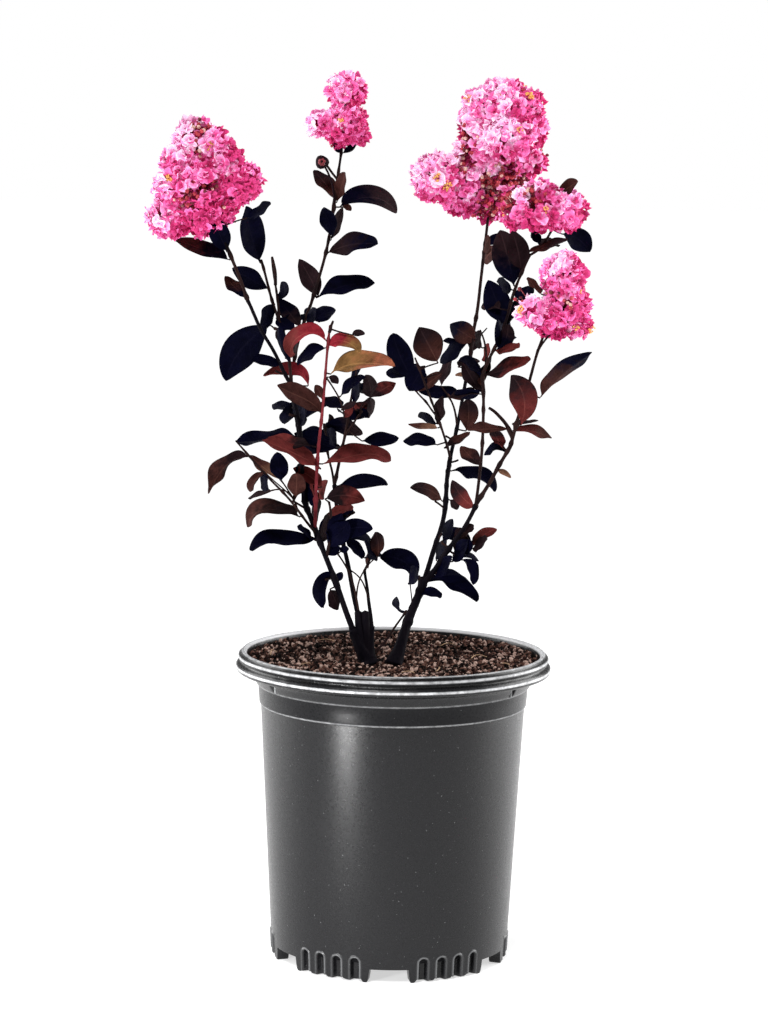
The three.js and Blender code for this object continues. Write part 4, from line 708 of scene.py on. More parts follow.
def leaf_shape(leaf, rows, cols, rng, plan=blade):
    """A closed blade along the leaf's arch: folded at the midrib, puffed between veins, wavy at the rim."""
    share = np.linspace(0, 1, rows) ** 0.96
    sine = np.sin(np.linspace(-1, 1, cols) * math.pi / 2 * 0.94)
    across_share = sine / math.sin(math.pi / 2 * 0.94)
    centre, across, face, half = plan(leaf, share)
    size = leaf["length"] / 40
    stalk = 0.55 * size ** 0.5
    half = np.maximum(half * (1 + 0.03 * waves(rng, 3, 4, 9)(share)), np.where(share < 0.5, stalk, 0.12))
    side = across_share[None, :] * np.ones((rows, 1))
    fold = LEAF_FOLD * (np.sqrt(side ** 2 + 0.02) - 0.14)
    height = (fold - 0.16 * side ** 2 * np.sin(math.pi * share)[:, None]) * half[:, None]
    rim = np.abs(side) ** 3 * np.minimum(1, half[:, None] / 4)
    height = height + rim * size * (0.9 * waves(rng, 2, 9, 14)(share[:, None] + side * 0.1))
    veins = np.abs(np.sin(math.pi * (share[:, None] * VEIN_PAIRS - np.abs(side) * 1.6)))
    puff = 0.3 * size * veins * (1 - np.abs(side) ** 4) * np.minimum(1, np.abs(side) * 4)
    height = height + puff * np.minimum(1, half[:, None] / 5)
    top = centre[:, None] + across[:, None] * (side * half[:, None])[..., None]
    top = top + face[:, None] * height[..., None]
    thick = 0.16 + 0.22 * np.exp(-((side * half[:, None] / 0.7) ** 2))
    under = top - face[:, None] * (2 * thick)[..., None]
    top_number = np.arange(rows * cols).reshape(rows, cols)
    under_number = top_number.copy()
    under_number[1:-1, 1:-1] = rows * cols + np.arange((rows - 2) * (cols - 2)).reshape(rows - 2, cols - 2)
    quads = strips(rows, cols)
    beneath = under_number.ravel()[quads]
    points = np.concatenate([top.reshape(-1, 3), under[1:-1, 1:-1].reshape(-1, 3)])
    spots = np.stack([(side + 1) / 2, share[:, None] + side * 0], -1)
    spots = np.concatenate([spots.reshape(-1, 2), spots[1:-1, 1:-1].reshape(-1, 2)])
    shift = lean(leaf["stem"], leaf["at"]) if leaf.get("stem") is not None else 0
    return points + shift, quads[:, ::-1], beneath, spots


# ---------------------------------------------------------------- what the camera sees of the crown

# A seen leaf's least width as a share of its length, and how much wider it is made than it looks.
SEEN_SHARE = 0.42
SEEN_WIDER = 1.14
# Shares of the width by which the midrib lies under the rims, and by which a path moves into its curve.
FOLD_LIFT = 0.24
HANG = 0.13
# The picture's cells, and the share of a leaf that has to be hidden by others.
MASK_CELL = 2
MASK_SHAPE = (512, 384)
HIDDEN_SHARE = 0.9
HIDDEN_SWINGS = (0, 35, -35, 70, -70, 105, -105, 140, -140, 180)
HIDDEN_LIFTS = (0, -25, 30)
LIMB_STEPS = 60
# Pixels between a leaf and its limb from which it has a stalk, and the least length of a leaf.
PETIOLE_FROM = 1.6
LEAST_LONG = 24.0

view_right = np.array([1.0, 0, 0])
view_up = np.array([0, math.sin(CAMERA_PITCH), math.cos(CAMERA_PITCH)])
view_forward = np.array([0, math.cos(CAMERA_PITCH), -math.sin(CAMERA_PITCH)])
roll_cosine, roll_sine = math.cos(CAMERA_ROLL), math.sin(CAMERA_ROLL)
view_across = view_right * roll_cosine + view_up * roll_sine
view_above = view_up * roll_cosine - view_right * roll_sine
eye = np.array(CAMERA_PLACE) / MM


def seen_at(points):
    """The pixels at which the camera sees some points."""
    away = np.asarray(points, float) - eye
    depth = away @ view_forward
    across, above = away @ view_across / depth, away @ view_above / depth
    return np.stack([PICTURE_WIDE / 2 + CAMERA_LENS_PIXELS * across,
                     PICTURE_TALL / 2 - CAMERA_LENS_PIXELS * above], -1)


def behind_pixel(pixels, depth):
    """The points behind some pixels whose y is depth."""
    pixels = np.asarray(pixels, float)
    across = (pixels[..., 0] - PICTURE_WIDE / 2) / CAMERA_LENS_PIXELS
    above = -(pixels[..., 1] - PICTURE_TALL / 2) / CAMERA_LENS_PIXELS
    ray = view_forward + across[..., None] * view_across + above[..., None] * view_above
    return eye + ray * ((depth - eye[1]) / ray[..., 1])[..., None]


class Carriers:
    """The limbs that leaves and twigs can be placed on, with the pixels at which they are seen."""

    def __init__(self, limbs):
        self.limbs, self.pixels, self.points = [], [], []
        for limb in limbs:
            self.add(limb)

    def add(self, limb):
        path = limb_path(limb, np.linspace(0, 1, LIMB_STEPS))
        self.limbs.append(limb)
        self.points.append(path)
        self.pixels.append(seen_at(path))

    def nearest(self, pixel):
        """The limb nearest to a pixel, where along it, its point there, and how many pixels away."""
        away = np.linalg.norm(np.array(self.pixels) - np.array(pixel, float), axis=2)
        which, step = np.unravel_index(int(away.argmin()), away.shape)
        return self.limbs[which], step / (LIMB_STEPS - 1), self.points[which][step], away[which, step]


def smooth_path(pixels, count):
    """A smooth curve through pixels, by equal steps along it."""
    pixels = np.asarray(pixels, float)
    steps = np.r_[0, np.cumsum(np.linalg.norm(np.diff(pixels, axis=0), axis=1))]
    degree = min(len(pixels) - 1, 3)
    share = np.linspace(0, 1, 60)
    fits = [np.polyfit(steps / steps[-1], pixels[:, k], degree) for k in (0, 1)]
    fine = np.stack([np.polyval(fit, share) for fit in fits], -1)
    fine[0], fine[-1] = pixels[0], pixels[-1]
    run = np.r_[0, np.cumsum(np.linalg.norm(np.diff(fine, axis=0), axis=1))]
    even = np.linspace(0, run[-1], count)
    return np.stack([np.interp(even, run, fine[:, k]) for k in (0, 1)], -1)


def hang(pixels, wide):
    """A curved path moved a little into its own curve, where the broader half of an arched leaf is seen."""
    pixels = [np.array(pixel, float) for pixel in pixels]
    chord = unit(pixels[-1] - pixels[0])
    for index in range(1, len(pixels) - 1):
        away = pixels[index] - pixels[0]
        away = chord * (away @ chord) - away
        deep = np.linalg.norm(away)
        if deep > 1:
            pixels[index] = pixels[index] + away / deep * min(HANG * wide, deep)
    return pixels


def seen_twig(row, carriers, rng):
    """A bare twig whose foot is on the limb nearest to it."""
    *pixels, radius = row
    _, _, place, _ = carriers.nearest(pixels[0])
    path = smooth_path([seen_at(place)] + list(pixels[1:]), 12)
    share = np.linspace(0, 1, 12)
    reach = rng.uniform(-1, 1) * 6
    points = behind_pixel(path, place[1] + reach * share)
    twig = Limb("seen", points[0], points[-1], (radius * 1.1, radius * 0.8),
                bow=(points[6] - (points[0] + points[-1]) / 2))
    twig.sway = [waves(rng, 3, 3, 9) for _ in range(3)]
    twig.crook = 0.2
    return twig


def seen_leaf(row, carriers, rng):
    """A leaf over its pixels, with its foot on the nearest limb, or on a stalk from there."""
    *pixels, wide, tints = row
    pixels = hang(pixels, wide)
    limb, at, place, away = carriers.nearest(pixels[0])
    depth = place[1] + rng.uniform(-0.3, 0.3) * away
    stalk = None
    if away > PETIOLE_FROM:
        foot = behind_pixel(pixels[0], depth)
        stalk = np.array([place, (place * 0.55 + foot * 0.45) + UP * rng.uniform(-0.06, 0.06) * away, foot])
    else:
        pixels = [tuple(seen_at(place))] + list(pixels[1:])
        depth = place[1]
    flat = behind_pixel(smooth_path(pixels, 25), depth)
    seen_long = float(np.linalg.norm(np.diff(flat, axis=0), axis=1).sum())
    own_long = rng.uniform(1.04, 1.25) * max(seen_long, LEAST_LONG if seen_long > 12 else seen_long)
    reach = math.sqrt(own_long ** 2 - seen_long ** 2) * rng.choice([-1, 1])
    if abs(depth + reach) > CROWN_DEEP:
        reach = -reach
    limb.knots.append(at)
    return dict(pixels=pixels, wide=wide, tints=tints, depth=depth, reach=reach, length=own_long,
                away=rng.choice([-1, -1, -1, 1]), stem=None, stalk=stalk,
                outline=(rng.uniform(0.84, 1.08), rng.uniform(0.6, 0.84)))


def seen_blade(leaf, share):
    """Centre, across and face directions and half width of a leaf that is placed by pixels."""
    share = np.clip(share, 0, 1)
    run = np.linspace(0, 1, 60)
    fine = behind_pixel(smooth_path(leaf["pixels"], 60), leaf["depth"] + leaf["reach"] * run ** 1.2)
    centre = np.stack([np.interp(share, run, fine[:, k]) for k in range(3)], -1)
    along = np.stack([np.interp(share, run, unit(np.gradient(fine, axis=0))[:, k]) for k in range(3)], -1)
    along = unit(along)
    to_eye = unit(eye - centre)
    level = unit(np.cross(along, to_eye))
    if level[:, 2].mean() < 0:
        level = -level
    seen_wide = leaf["wide"] * PIXEL_SIZE * SEEN_WIDER
    own_wide = max(seen_wide, SEEN_SHARE * leaf["length"])
    tilt = math.acos(min(1.0, seen_wide / own_wide))
    toward = unit(np.cross(level, along))
    toward = toward * np.sign((toward * to_eye).sum(1))[:, None]
    across = level * math.cos(tilt) + toward * (leaf["away"] * math.sin(tilt))
    face_here = np.cross(along, across)
    wanted = UP * 0.7 - view_forward * 0.5
    if (face_here @ wanted).mean() < 0:
        across, face_here = -across, -face_here
    first, sharp = leaf["outline"]
    inside = np.clip((share - 0.05) / 0.95, 0, 1)
    outline = np.clip(np.sin(math.pi * inside ** first), 0, 1) ** sharp
    half = own_wide / 2 * outline
    return centre - face_here * (FOLD_LIFT * half)[:, None], across, face_here, half


class Mask:
    """The cells of the picture that are already covered, and the depth of what covers them."""

    def __init__(self):
        self.depths = np.full(MASK_SHAPE, np.inf)

    def spots(self, points):
        """The rows and columns of the cells at which some points are seen."""
        cells = (seen_at(points) / MASK_CELL).astype(int)
        return np.clip(cells[:, 1], 1, MASK_SHAPE[0] - 2), np.clip(cells[:, 0], 1, MASK_SHAPE[1] - 2)

    def cover(self, points):
        rows, cols = self.spots(points)
        np.minimum.at(self.depths, (rows, cols), points[:, 1])

    def share(self, points):
        """The share of some points that is hidden."""
        rows, cols = self.spots(points)
        return float((self.depths[rows, cols] < points[:, 1]).mean())


def keep_hidden(leaves, mask):
    """The rule's leaves stay where the leaves that are seen hide them, swung behind or before them."""
    kept = []
    for leaf in leaves:
        turn, lift = leaf["turn"], leaf["lift"]
        for rise, swing in product(HIDDEN_LIFTS, HIDDEN_SWINGS):
            leaf["turn"], leaf["lift"] = turn + swing, lift + rise
            cloud = leaf_cloud(leaf)
            clear = cloud[:, 2].min() >= RIM_TOP and np.abs(cloud[:, 1]).max() <= CROWN_DEEP
            if clear and mask.share(cloud) >= HIDDEN_SHARE:
                kept.append(dict(leaf))
                break
    return kept


# ---------------------------------------------------------------- pot

POT_FOOT_RADIUS = 86.3
POT_SLOPE = 0.0535
RING_INNER = 77.8
FLOOR_UNDER = 10.0
PAD_RADIUS = 18.0
SECTORS = 6
SECTOR_HALF = 180 / SECTORS
# The turn of each gap in the foot ring, and the side on which the arches after it have their lips.
GAPS = [(-90 + sector * 360 / SECTORS, -1 if sector % 2 == 0 else 1) for sector in range(SECTORS)]
GAP_HALF = 14.5
GAP_HEIGHT = 9.5
# Turns of the arched recesses of a sector from its middle.
RECESS_TURNS = (-13.6, -4.5, 4.5, 13.6)
RECESS_WIDE = 6.4
RECESS_TALL = 17.5
RECESS_DEEP = 4.3
SLOT_TURNS = (33, 147, 213, 327)
SLOT_LOW, SLOT_HIGH = 201.4, 210.2
# Radii of a slot's upright floor and of the wall's inside behind it, the height of the rib in its middle,
# and how much lower the slot's edges are on the inside of the wall.
SLOT_FLOOR, SLOT_BACK = 98.8, 97.9
SLOT_RIB = 2.2
SLOT_WALL = 0.8
# How far the lips of the arches stand out.
LIP_HIGH = 0.75
# Shares of the pale painted highlight on the lips of the arches and on the ribs in the slots.
LIP_HIGHLIGHT = 0.2
RIB_HIGHLIGHT = 0.6
# Size of the rim's waves, how often each runs round it, and the radius inside which there are none.
RIM_WARP = 0.045
WARP_PITCHES = (9, 14, 22, 31, 43, 58)
WARP_MOST = sum(abs(math.sin(pitch)) for pitch in WARP_PITCHES)
WARP_TWIST = 0.35
WARP_INNER = 106.5
# Heights of the band under the rim, whose shine is dull.
BAND_LOW, BAND_HIGH = 187.2, 200.9
# The numbers of the finishes, and heights of the rows of the wall above the lobed foot.
OUTSIDE, BAND, INSIDE = 0, 1, 2
WALL_HEIGHTS = [*np.arange(0.55, 12, 0.75), *np.arange(12, 21.5, 0.42),
                22.5, 25, 32, 60, 100, 140, 170, 184, 185.8]
# The rows follow the lobes of the foot up to this height.
BLEND_TOP = 22.0
POT_FLOOR = 12.0
# Radius and height up the outside from the collar's foot, over the rim and down the inside.
RIM_PROFILE = (
    (96.25, 186.4), (96.5, 186.8), (97.0, 187.0), (97.3, 187.25), (97.45, 187.7), (97.55, 189),
    (98.0, 194), (98.35, 200.2), (98.6, 200.8), (99.0, 201.1), (99.4, 201.4), (99.9, 202.0),
    (100.5, 203.1), (101.2, 204.6), (102.1, 206.4), (103.0, 207.9), (104.0, 208.9), (106.0, 209.5),
    (108.6, 209.8), (111.2, 210.2), (112.8, 210.6), (114.0, 211.2), (114.8, 212.3), (115.0, 213.6),
    (114.8, 215.0), (114.1, 216.1), (113.2, 216.8), (112.4, 217.3), (112.0, 218.0), (112.3, 218.8),
    (113.0, 219.5), (113.4, 220.4), (113.4, 221.3), (112.9, 222.3), (112.1, 222.9), (111.5, 223.3),
    (111.2, 223.9), (110.6, 224.6), (109.6, 225.0), (108.6, 224.9), (107.6, 224.1), (107.0, 222.6),
    (106.6, 220.6), (105.9, 216.5), (105.2, 213.0), (104.9, 211.6), (104.5, 210.5), (101.2, 206.5),
    (99.2, 203.5), (97.6, 201.6), (97.0, 200.0), (96.7, 198.0), (96.2, 196.0), (94.4, 187.0),
    (86.0, 30.0), (84.9, 14.0), (80.0, POT_FLOOR), (45.0, POT_FLOOR), (0.2, POT_FLOOR),
)


def smooth(value, low, high):
    """A share that rises softly from 0 at low to 1 at high."""
    part = np.clip((value - low) / (high - low), 0, 1)
    return part * part * (3 - 2 * part)


def pot_turns():
    """Turns of the pot's columns, close together where recesses, gap edges and slots need it."""
    marks = [np.arange(0, 360, 1.6)]
    edge = math.degrees(GAP_HALF / POT_FOOT_RADIUS)
    for gap, _ in GAPS:
        for recess in RECESS_TURNS:
            marks.append(gap + SECTOR_HALF + recess + np.arange(-3.6, 3.61, 0.45))
        for sign in (-1, 1):
            marks.append(gap + sign * (edge + np.arange(-1.6, 2.61, 0.42)))
    for turn in SLOT_TURNS:
        marks.append(turn + np.arange(-1.8, 1.81, 0.2))
    turns = np.sort(np.concatenate(marks) % 360)
    kept = [turns[0]]
    for turn in turns[1:]:
        if turn - kept[-1] > 0.13:
            kept.append(turn)
    return np.radians(np.array(kept))


def arc_from(turns, centre):
    """Distance round the foot from a turn, in millimetres, positive towards larger turns."""
    gap = (turns - math.radians(centre) + math.pi) % (2 * math.pi) - math.pi
    return gap * POT_FOOT_RADIUS


def pot_foot(turns):
    """Height of the wall's lower edge: raised at the gaps, lobed at the feet."""
    foot = np.full(len(turns), 0.9)
    for gap, toward in GAPS:
        for recess in RECESS_TURNS:
            arc = arc_from(turns, gap + SECTOR_HALF + recess) - toward * (RECESS_WIDE / 2 + 0.9)
            foot += 1.7 * np.exp(-((arc / 1.15) ** 2))
        for side in (-1, 1):
            bulb = arc_from(turns, gap) * side - GAP_HALF - 2.6
            foot -= 0.9 * np.exp(-((bulb / 2.2) ** 4))
    foot = np.maximum(foot, 0)
    for gap, _ in GAPS:
        away = np.abs(arc_from(turns, gap)) - GAP_HALF
        corner = np.clip(1 - (away - 0.2) / 1.6, 0, 1)
        foot += 1.5 * (corner ** 2) * (away > 0)
        foot = foot + (GAP_HEIGHT - foot) * smooth(-away, -0.35, 0.35)
    return foot


def recess_parts(turns, height):
    """How far the arches sink the outside, and how far their lips raise it, at each turn and height."""
    sunk = np.zeros(np.broadcast(turns, height).shape)
    raised = sunk.copy()
    for gap, toward in GAPS:
        for recess in RECESS_TURNS:
            arc = arc_from(turns, gap + SECTOR_HALF + recess)
            crown = RECESS_TALL - RECESS_WIDE / 2
            inside = np.where(height < crown, RECESS_WIDE / 2 - np.abs(arc),
                              RECESS_WIDE / 2 - np.hypot(arc, height - crown))
            lip = LIP_HIGH * np.exp(-(((inside + 0.75) / 0.62) ** 2))
            raised += lip * (0.35 + 0.65 * smooth(arc * toward + np.maximum(0, height - crown), -1.5, 1.5))
            sunk += RECESS_DEEP * smooth(inside, -0.15, 1.35)
    return sunk, raised


def slot_parts(turns, height):
    """The share of each turn that lies in a slot, and of its rib, at one height."""
    well = np.zeros(len(turns))
    rib = well.copy()
    up = smooth(height, SLOT_LOW, SLOT_LOW + 0.6) * smooth(-height, -SLOT_HIGH, -SLOT_HIGH + 0.6)
    for turn in SLOT_TURNS:
        arc = arc_from(turns, turn) * 1.17
        well += smooth(-np.abs(arc), -2.9, -2.4) * up
        rib += np.exp(-((arc / 0.5) ** 2)) * up
    return well, rib


def rim_warp(turns, height):
    """The rolled rim isn't quite true: small waves run along it, and only inwards."""
    wave = sum(math.sin(pitch) * np.sin(pitch * turns + pitch * pitch + height * WARP_TWIST)
               for pitch in WARP_PITCHES)
    return RIM_WARP * (wave - WARP_MOST)


def make_pot(finishes):
    """The pot, with a finish each for its outside, its dull band and its inside."""
    turns = pot_turns()
    foot = pot_foot(turns)
    ones = np.ones(len(turns))
    radii, heights, painted_highlight, kinds = [], [], [], []

    def row(radius, height, pale=0, kind=OUTSIDE):
        """Adds a ring of points, its share of painted highlight, and the finish of the faces after it."""
        radii.append(radius * ones)
        heights.append(height * ones)
        painted_highlight.append(pale * ones)
        kinds.append(kind * np.ones(len(turns), int))

    for radius, height in (
            (0.2, 0), (PAD_RADIUS - 0.6, 0), (PAD_RADIUS, 0.6), (PAD_RADIUS, FLOOR_UNDER - 0.8),
            (PAD_RADIUS + 0.8, FLOOR_UNDER), (50, FLOOR_UNDER), (RING_INNER - 0.6, FLOOR_UNDER)):
        row(radius, height)
    row(RING_INNER, np.maximum(FLOOR_UNDER - 0.5, foot + 0.1))
    row(RING_INNER, foot + 0.35)
    row(RING_INNER + 0.5, foot)
    sunk, raised = recess_parts(turns, foot + 0.3)
    under = raised - sunk
    for share in (0.4, 0.8):
        row(RING_INNER + 0.5 + (POT_FOOT_RADIUS + under - RING_INNER - 1.1) * share, foot)
    row(POT_FOOT_RADIUS + under - 0.55, foot)
    row(POT_FOOT_RADIUS + under - 0.16, foot + 0.16)
    for level in WALL_HEIGHTS:
        height = np.where(level < BLEND_TOP, foot + level * (BLEND_TOP - foot) / BLEND_TOP, level)
        sunk, raised = recess_parts(turns, height)
        # The lips of the arches get a pale painted highlight that follows their height.
        row(POT_FOOT_RADIUS + POT_SLOPE * height + raised - sunk, height, LIP_HIGHLIGHT * raised / LIP_HIGH)
    crest = max(range(len(RIM_PROFILE)), key=lambda index: RIM_PROFILE[index][1])
    for index, (radius, height) in enumerate(RIM_PROFILE):
        well, rib = slot_parts(turns, height - (SLOT_WALL if index > crest else 0))
        if index < crest:
            warped = radius + rim_warp(turns, height) * (height > SLOT_HIGH)
            wall = BAND if BAND_LOW < height < BAND_HIGH else OUTSIDE
            # The ribs in the slots get a pale painted highlight.
            row(warped + well * (SLOT_FLOOR + SLOT_RIB * rib - radius), height, RIB_HIGHLIGHT * rib,
                np.where(well > 0.5, INSIDE, wall))
        elif radius > WARP_INNER:
            row(radius + rim_warp(turns, height), height)
        else:
            row(radius + well * min(0, SLOT_BACK - radius), height, 0, INSIDE)
    points = np.stack([radii * np.cos(turns), radii * np.sin(turns), heights], -1)
    ends = np.array([[0, 0, 0], [0, 0, POT_FLOOR]])
    shares = np.concatenate(painted_highlight + [np.zeros(len(ends))])
    pot = Gather("nursery_pot")
    pot.add(np.concatenate([points.reshape(-1, 3), ends]), closed_rings(len(radii), len(turns)),
            [np.concatenate(kinds[:-1]), OUTSIDE, INSIDE], np.stack([shares, np.zeros_like(shares)], -1))
    return pot.make(finishes, "pot", ["pot"])


# ---------------------------------------------------------------- soil

SOIL_EDGE = 106.2
# Radius and height down the side of the mix, close to the pot's inside.
SOIL_SIDE = (
    (104.6, 212.6), (96.8, 211.0), (96.6, 204.0), (96.0, 199.0), (95.6, 196.0), (94.1, 187.0), (85.7, 30.0),
    (84.6, 14.5), (79.8, 12.3), (0.3, 12.3),
)
GRAINS = 8200
CHIP_KINDS = 6
# Shares of the dark, brown, tan and black crumbs.
CRUMB_SHARES = (0.27, 0.27, 0.19, 0.27)
# Root hairs and straws on the mix: place, turn, length, and how far the middle rises.
FIBRES = (
    (32, -62, 75, 17, 1.5), (-88, -8, 70, 15, 2.5), (62, -4, 40, 14, 2), (40, 44, 20, 12, 1),
    (-50, 52, 150, 14, 1), (10, -80, 170, 9, 1), (80, -40, 120, 8, 1), (-62, -50, 30, 8, 1),
    (-20, 80, 100, 10, 1),
)


def soil_height(x, y):
    """The bark mix lies nearly level, with low swells, and sinks a little at its edge."""
    swell = 0.9 * np.sin(x * 0.06 + 1) * np.cos(y * 0.07) + 0.5 * np.sin(x * 0.17) * np.sin(y * 0.15 + 2)
    return SOIL_TOP + 0.3 + 0.7 * swell + 0.5 * smooth(np.hypot(x, y), 70, SOIL_EDGE)


def icosphere():
    """Points and triangles of a regular twenty-sided ball."""
    golden = (1 + math.sqrt(5)) / 2
    points = [(a, b, 0) for a in (-1, 1) for b in (-golden, golden)]
    points = np.array(points + [(0, p[0], p[1]) for p in points] + [(p[1], 0, p[0]) for p in points], float)
    near = np.linalg.norm(points[:, None] - points, axis=2) < 2.1
    faces = []
    for i in range(12):
        for j in range(i + 1, 12):
            for k in range(j + 1, 12):
                if near[i, j] and near[j, k] and near[i, k]:
                    out = np.dot(np.cross(points[j] - points[i], points[k] - points[i]), points[i]) > 0
                    faces.append((i, j, k) if out else (i, k, j))
    return unit(points), np.array(faces)


def random_frames(rng, count):
    """Axes turned at random, one set of three for each place."""
    first = unit(rng.normal(size=(count, 3)))
    second = unit(np.cross(first, rng.normal(size=(count, 3))))
    return np.stack([first, second, np.cross(first, second)], 1)


def make_soil(rng):
    """The closed body of the mix, whose top is rough, with crumbs over it."""
    soil = Gather("bark_mix")
    radii = np.concatenate([np.linspace(1, 100, 46), [103, SOIL_EDGE]])
    turns = np.radians(np.arange(0, 360, 2.5))
    radius, turn = np.meshgrid(radii, turns, indexing="ij")
    x, y = radius * np.cos(turn), radius * np.sin(turn)
    rough = waves(rng, 12, 0.3, 1.4)(x + 0.7 * y) * 0.5 + waves(rng, 12, 0.3, 1.4)(y - 0.6 * x) * 0.5
    rings = [np.stack([x, y, soil_height(x, y) + rough * 0.4 - 0.6], -1)]
    for reach, height in SOIL_SIDE:
        level = np.full(len(turns), height)
        rings.append(np.stack([reach * np.cos(turns), reach * np.sin(turns), level], -1)[None])
    grid = np.concatenate(rings)[::-1]
    hubs = np.array([[0, 0, SOIL_SIDE[-1][1]], [0, 0, float(soil_height(0.0, 0.0)) - 0.6]])
    soil.add(np.concatenate([grid.reshape(-1, 3), hubs]), closed_rings(len(grid), len(turns)))
    scatter_crumbs(soil, rng)
    return soil


def scatter_crumbs(soil, rng):
    """Crumbs of bark of a few shapes, sizes and colours lie all over the mix."""
    reach = (SOIL_EDGE - 2.2) * np.sqrt(rng.uniform(0, 1, GRAINS))
    spin = rng.uniform(0, 2 * math.pi, GRAINS)
    x, y = reach * np.cos(spin), reach * np.sin(spin)
    sizes = rng.gamma(5.5, 0.185, GRAINS).clip(0.45, 2.2)
    places = np.stack([x, y, soil_height(x, y) + sizes * rng.uniform(-0.35, 0.55, GRAINS)], -1)
    ball, faces = icosphere()
    frames = random_frames(rng, GRAINS)
    stretch = np.stack([rng.uniform(*span, GRAINS) for span in ((0.9, 1.6), (0.75, 1.1), (0.5, 0.85))], -1)
    tints = rng.choice(len(CRUMB_SHARES), GRAINS, p=CRUMB_SHARES)
    kinds = rng.integers(0, CHIP_KINDS, GRAINS)
    for kind in range(CHIP_KINDS):
        chip = ball * rng.uniform(0.75, 1.25, (len(ball), 1))
        mine = kinds == kind
        soil.copies(chip, [faces], places[mine], frames[mine] * stretch[mine][:, :, None], sizes[mine],
                    tints[mine])


def make_fibres(soil, tint):
    """A few pale root hairs and straws lie on the bark mix."""
    for x, y, turn, long, rise in FIBRES:
        t = np.linspace(-0.5, 0.5, 9)
        way = heading(turn, 0)
        path = np.array([x, y, 0]) + way * (t * long)[:, None]
        path = path + np.cross(UP, way) * (1.2 * np.sin(t * 5 + turn))[:, None]
        path[:, 2] = soil_height(path[:, 0], path[:, 1]) + 2.0 + rise * np.cos(t * math.pi)
        points, faces = tube(path, np.linspace(0.42, 0.25, 9), 5)
        soil.add(points, faces, tint)


# ---------------------------------------------------------------- blossom

# How densely florets cover a lobe, and how far out they sit in it, outside and in its core, and what is
# added to a cluster's seed for them.
COVER, CORE_COVER = 2.3, 0.55
OUTER_REACH, OUTER_SEED = (0.8, 0.95), 500
CORE_REACH, CORE_SEED = (0.42, 0.6), 900
SPIRAL_STEP = 2.4
FLOWER_RADIUS = 8.8
PETALS = 5
INNER_PETALS = 2
PETAL_KINDS = 12
PETAL_TURNS = 17
PETAL_RINGS = (0.52, 1.0)
PETAL_MIDDLE = 0.35
# The lobes of each cluster: pixels, half width and half height in pixels, depth from the cluster's tip and
# how much paler its flowers are painted, as the light and shade that fall on that lobe.
BLOSSOM_LOBES = {
    "blossom_left": [
        (194, 141, 22, 23, 0, 0.25), (206, 139, 17, 16, -2, 0), (186, 165, 25, 23, 0, -0.3),
        (230, 184, 28, 25, 0, -0.8), (244, 182, 18, 17, -4, -0.4), (222, 158, 19, 18, -2, -0.8),
        (174, 190, 21, 22, 0, 0.15), (165, 217, 18.5, 17.5, 0, 0.2), (204, 211, 29, 24, 0, -0.75),
        (198, 196, 26.4, 22, 18, -0.5), (200, 186, 27, 24, -12, -0.85), (172, 225, 15, 12, -2, -0.1)],
    "blossom_middle": [
        (346, 90, 20, 18, 0, -0.1), (343, 124, 24, 20.5, 0, -0.5), (320, 124, 13, 13, -4, 0.2),
        (350, 121, 18.5, 18, 10, -0.5), (355, 134, 14, 13, 0, -0.6), (341, 134, 14, 12, -7, -0.5)],
    "blossom_right": [
        (487, 110, 26, 25, 2, -0.1), (519, 110, 25, 24, -3, -0.25), (502, 98, 22, 21, 0, 0),
        (508, 140, 30, 26, -10, 0.45), (473, 124, 16, 18, -2, 0.1), (530, 130, 18, 22, 0, -0.45),
        (439, 178, 29, 26, -2, 0.2), (463, 190, 25, 26.5, 4, 0.1), (472, 152, 18, 17, 0, 0),
        (501, 174, 34, 27, 5, 0.2), (534, 160, 13, 14, -4, -0.3), (490, 207, 15, 15, 0, -0.3),
        (504, 151, 28, 25, 18, -0.2), (480, 140, 19, 20, 0, 0)],
    "blossom_outer": [
        (563, 276, 22.5, 23, 0, -0.1), (566, 310, 23, 25, 0, -0.7), (534, 312, 17, 15, -3, 0.1),
        (555, 324, 22, 13, 4, -0.6), (578, 324, 13, 14, 0, -0.8), (567, 300, 19, 22, 12, -0.7)],
    "blossom_low": [
        (538, 206, 28.5, 26, 0, -0.35), (564, 210, 22, 21, 0, -0.1), (547, 210, 19.4, 19.4, 12, -0.3),
        (517, 214, 14, 14, 0, -0.4)],
}


def all_lobes(row, tip):
    """Centres and half sizes of the lobes of a cluster."""
    return [(behind_pixel((across, down), tip[1] + deep), np.array([wide, wide, tall]) * PIXEL_SIZE, paler)
            for across, down, wide, tall, deep, paler in BLOSSOM_LOBES[row["name"]]]


def floret_seats(row, tip, cover, reach_range, first_seed):
    """Florets cover each lobe on an even spiral and face outwards. Those inside another are left out."""
    draw = seeded(row["seed"] + first_seed)
    lobes = all_lobes(row, tip)
    seats = []
    for own, (centre, half, paler) in enumerate(lobes):
        count = round(cover * 4 * half[0] * (half[0] + 2 * half[2]) / (3 * FLOWER_RADIUS ** 2))
        for index in range(count):
            height = 1 - (2 * index + 1) / count
            level = math.sqrt(1 - height * height)
            angle = index * SPIRAL_STEP + own
            out = np.array([level * math.cos(angle), level * math.sin(angle), height])
            reach = reach_range[0] + (reach_range[1] - reach_range[0]) * draw()
            spin, size = 2 * math.pi * draw(), 0.8 + 0.3 * draw()
            seat = centre + out * half * reach
            inside = any((((seat - middle) / (wide - LOBE_OVERLAP - 1)) ** 2).sum() < reach_range[0] ** 2
                         for other, (middle, wide, _) in enumerate(lobes) if other != own)
            if not inside:
                seats.append((seat, unit(out / half), spin, size, centre, paler))
    return seats


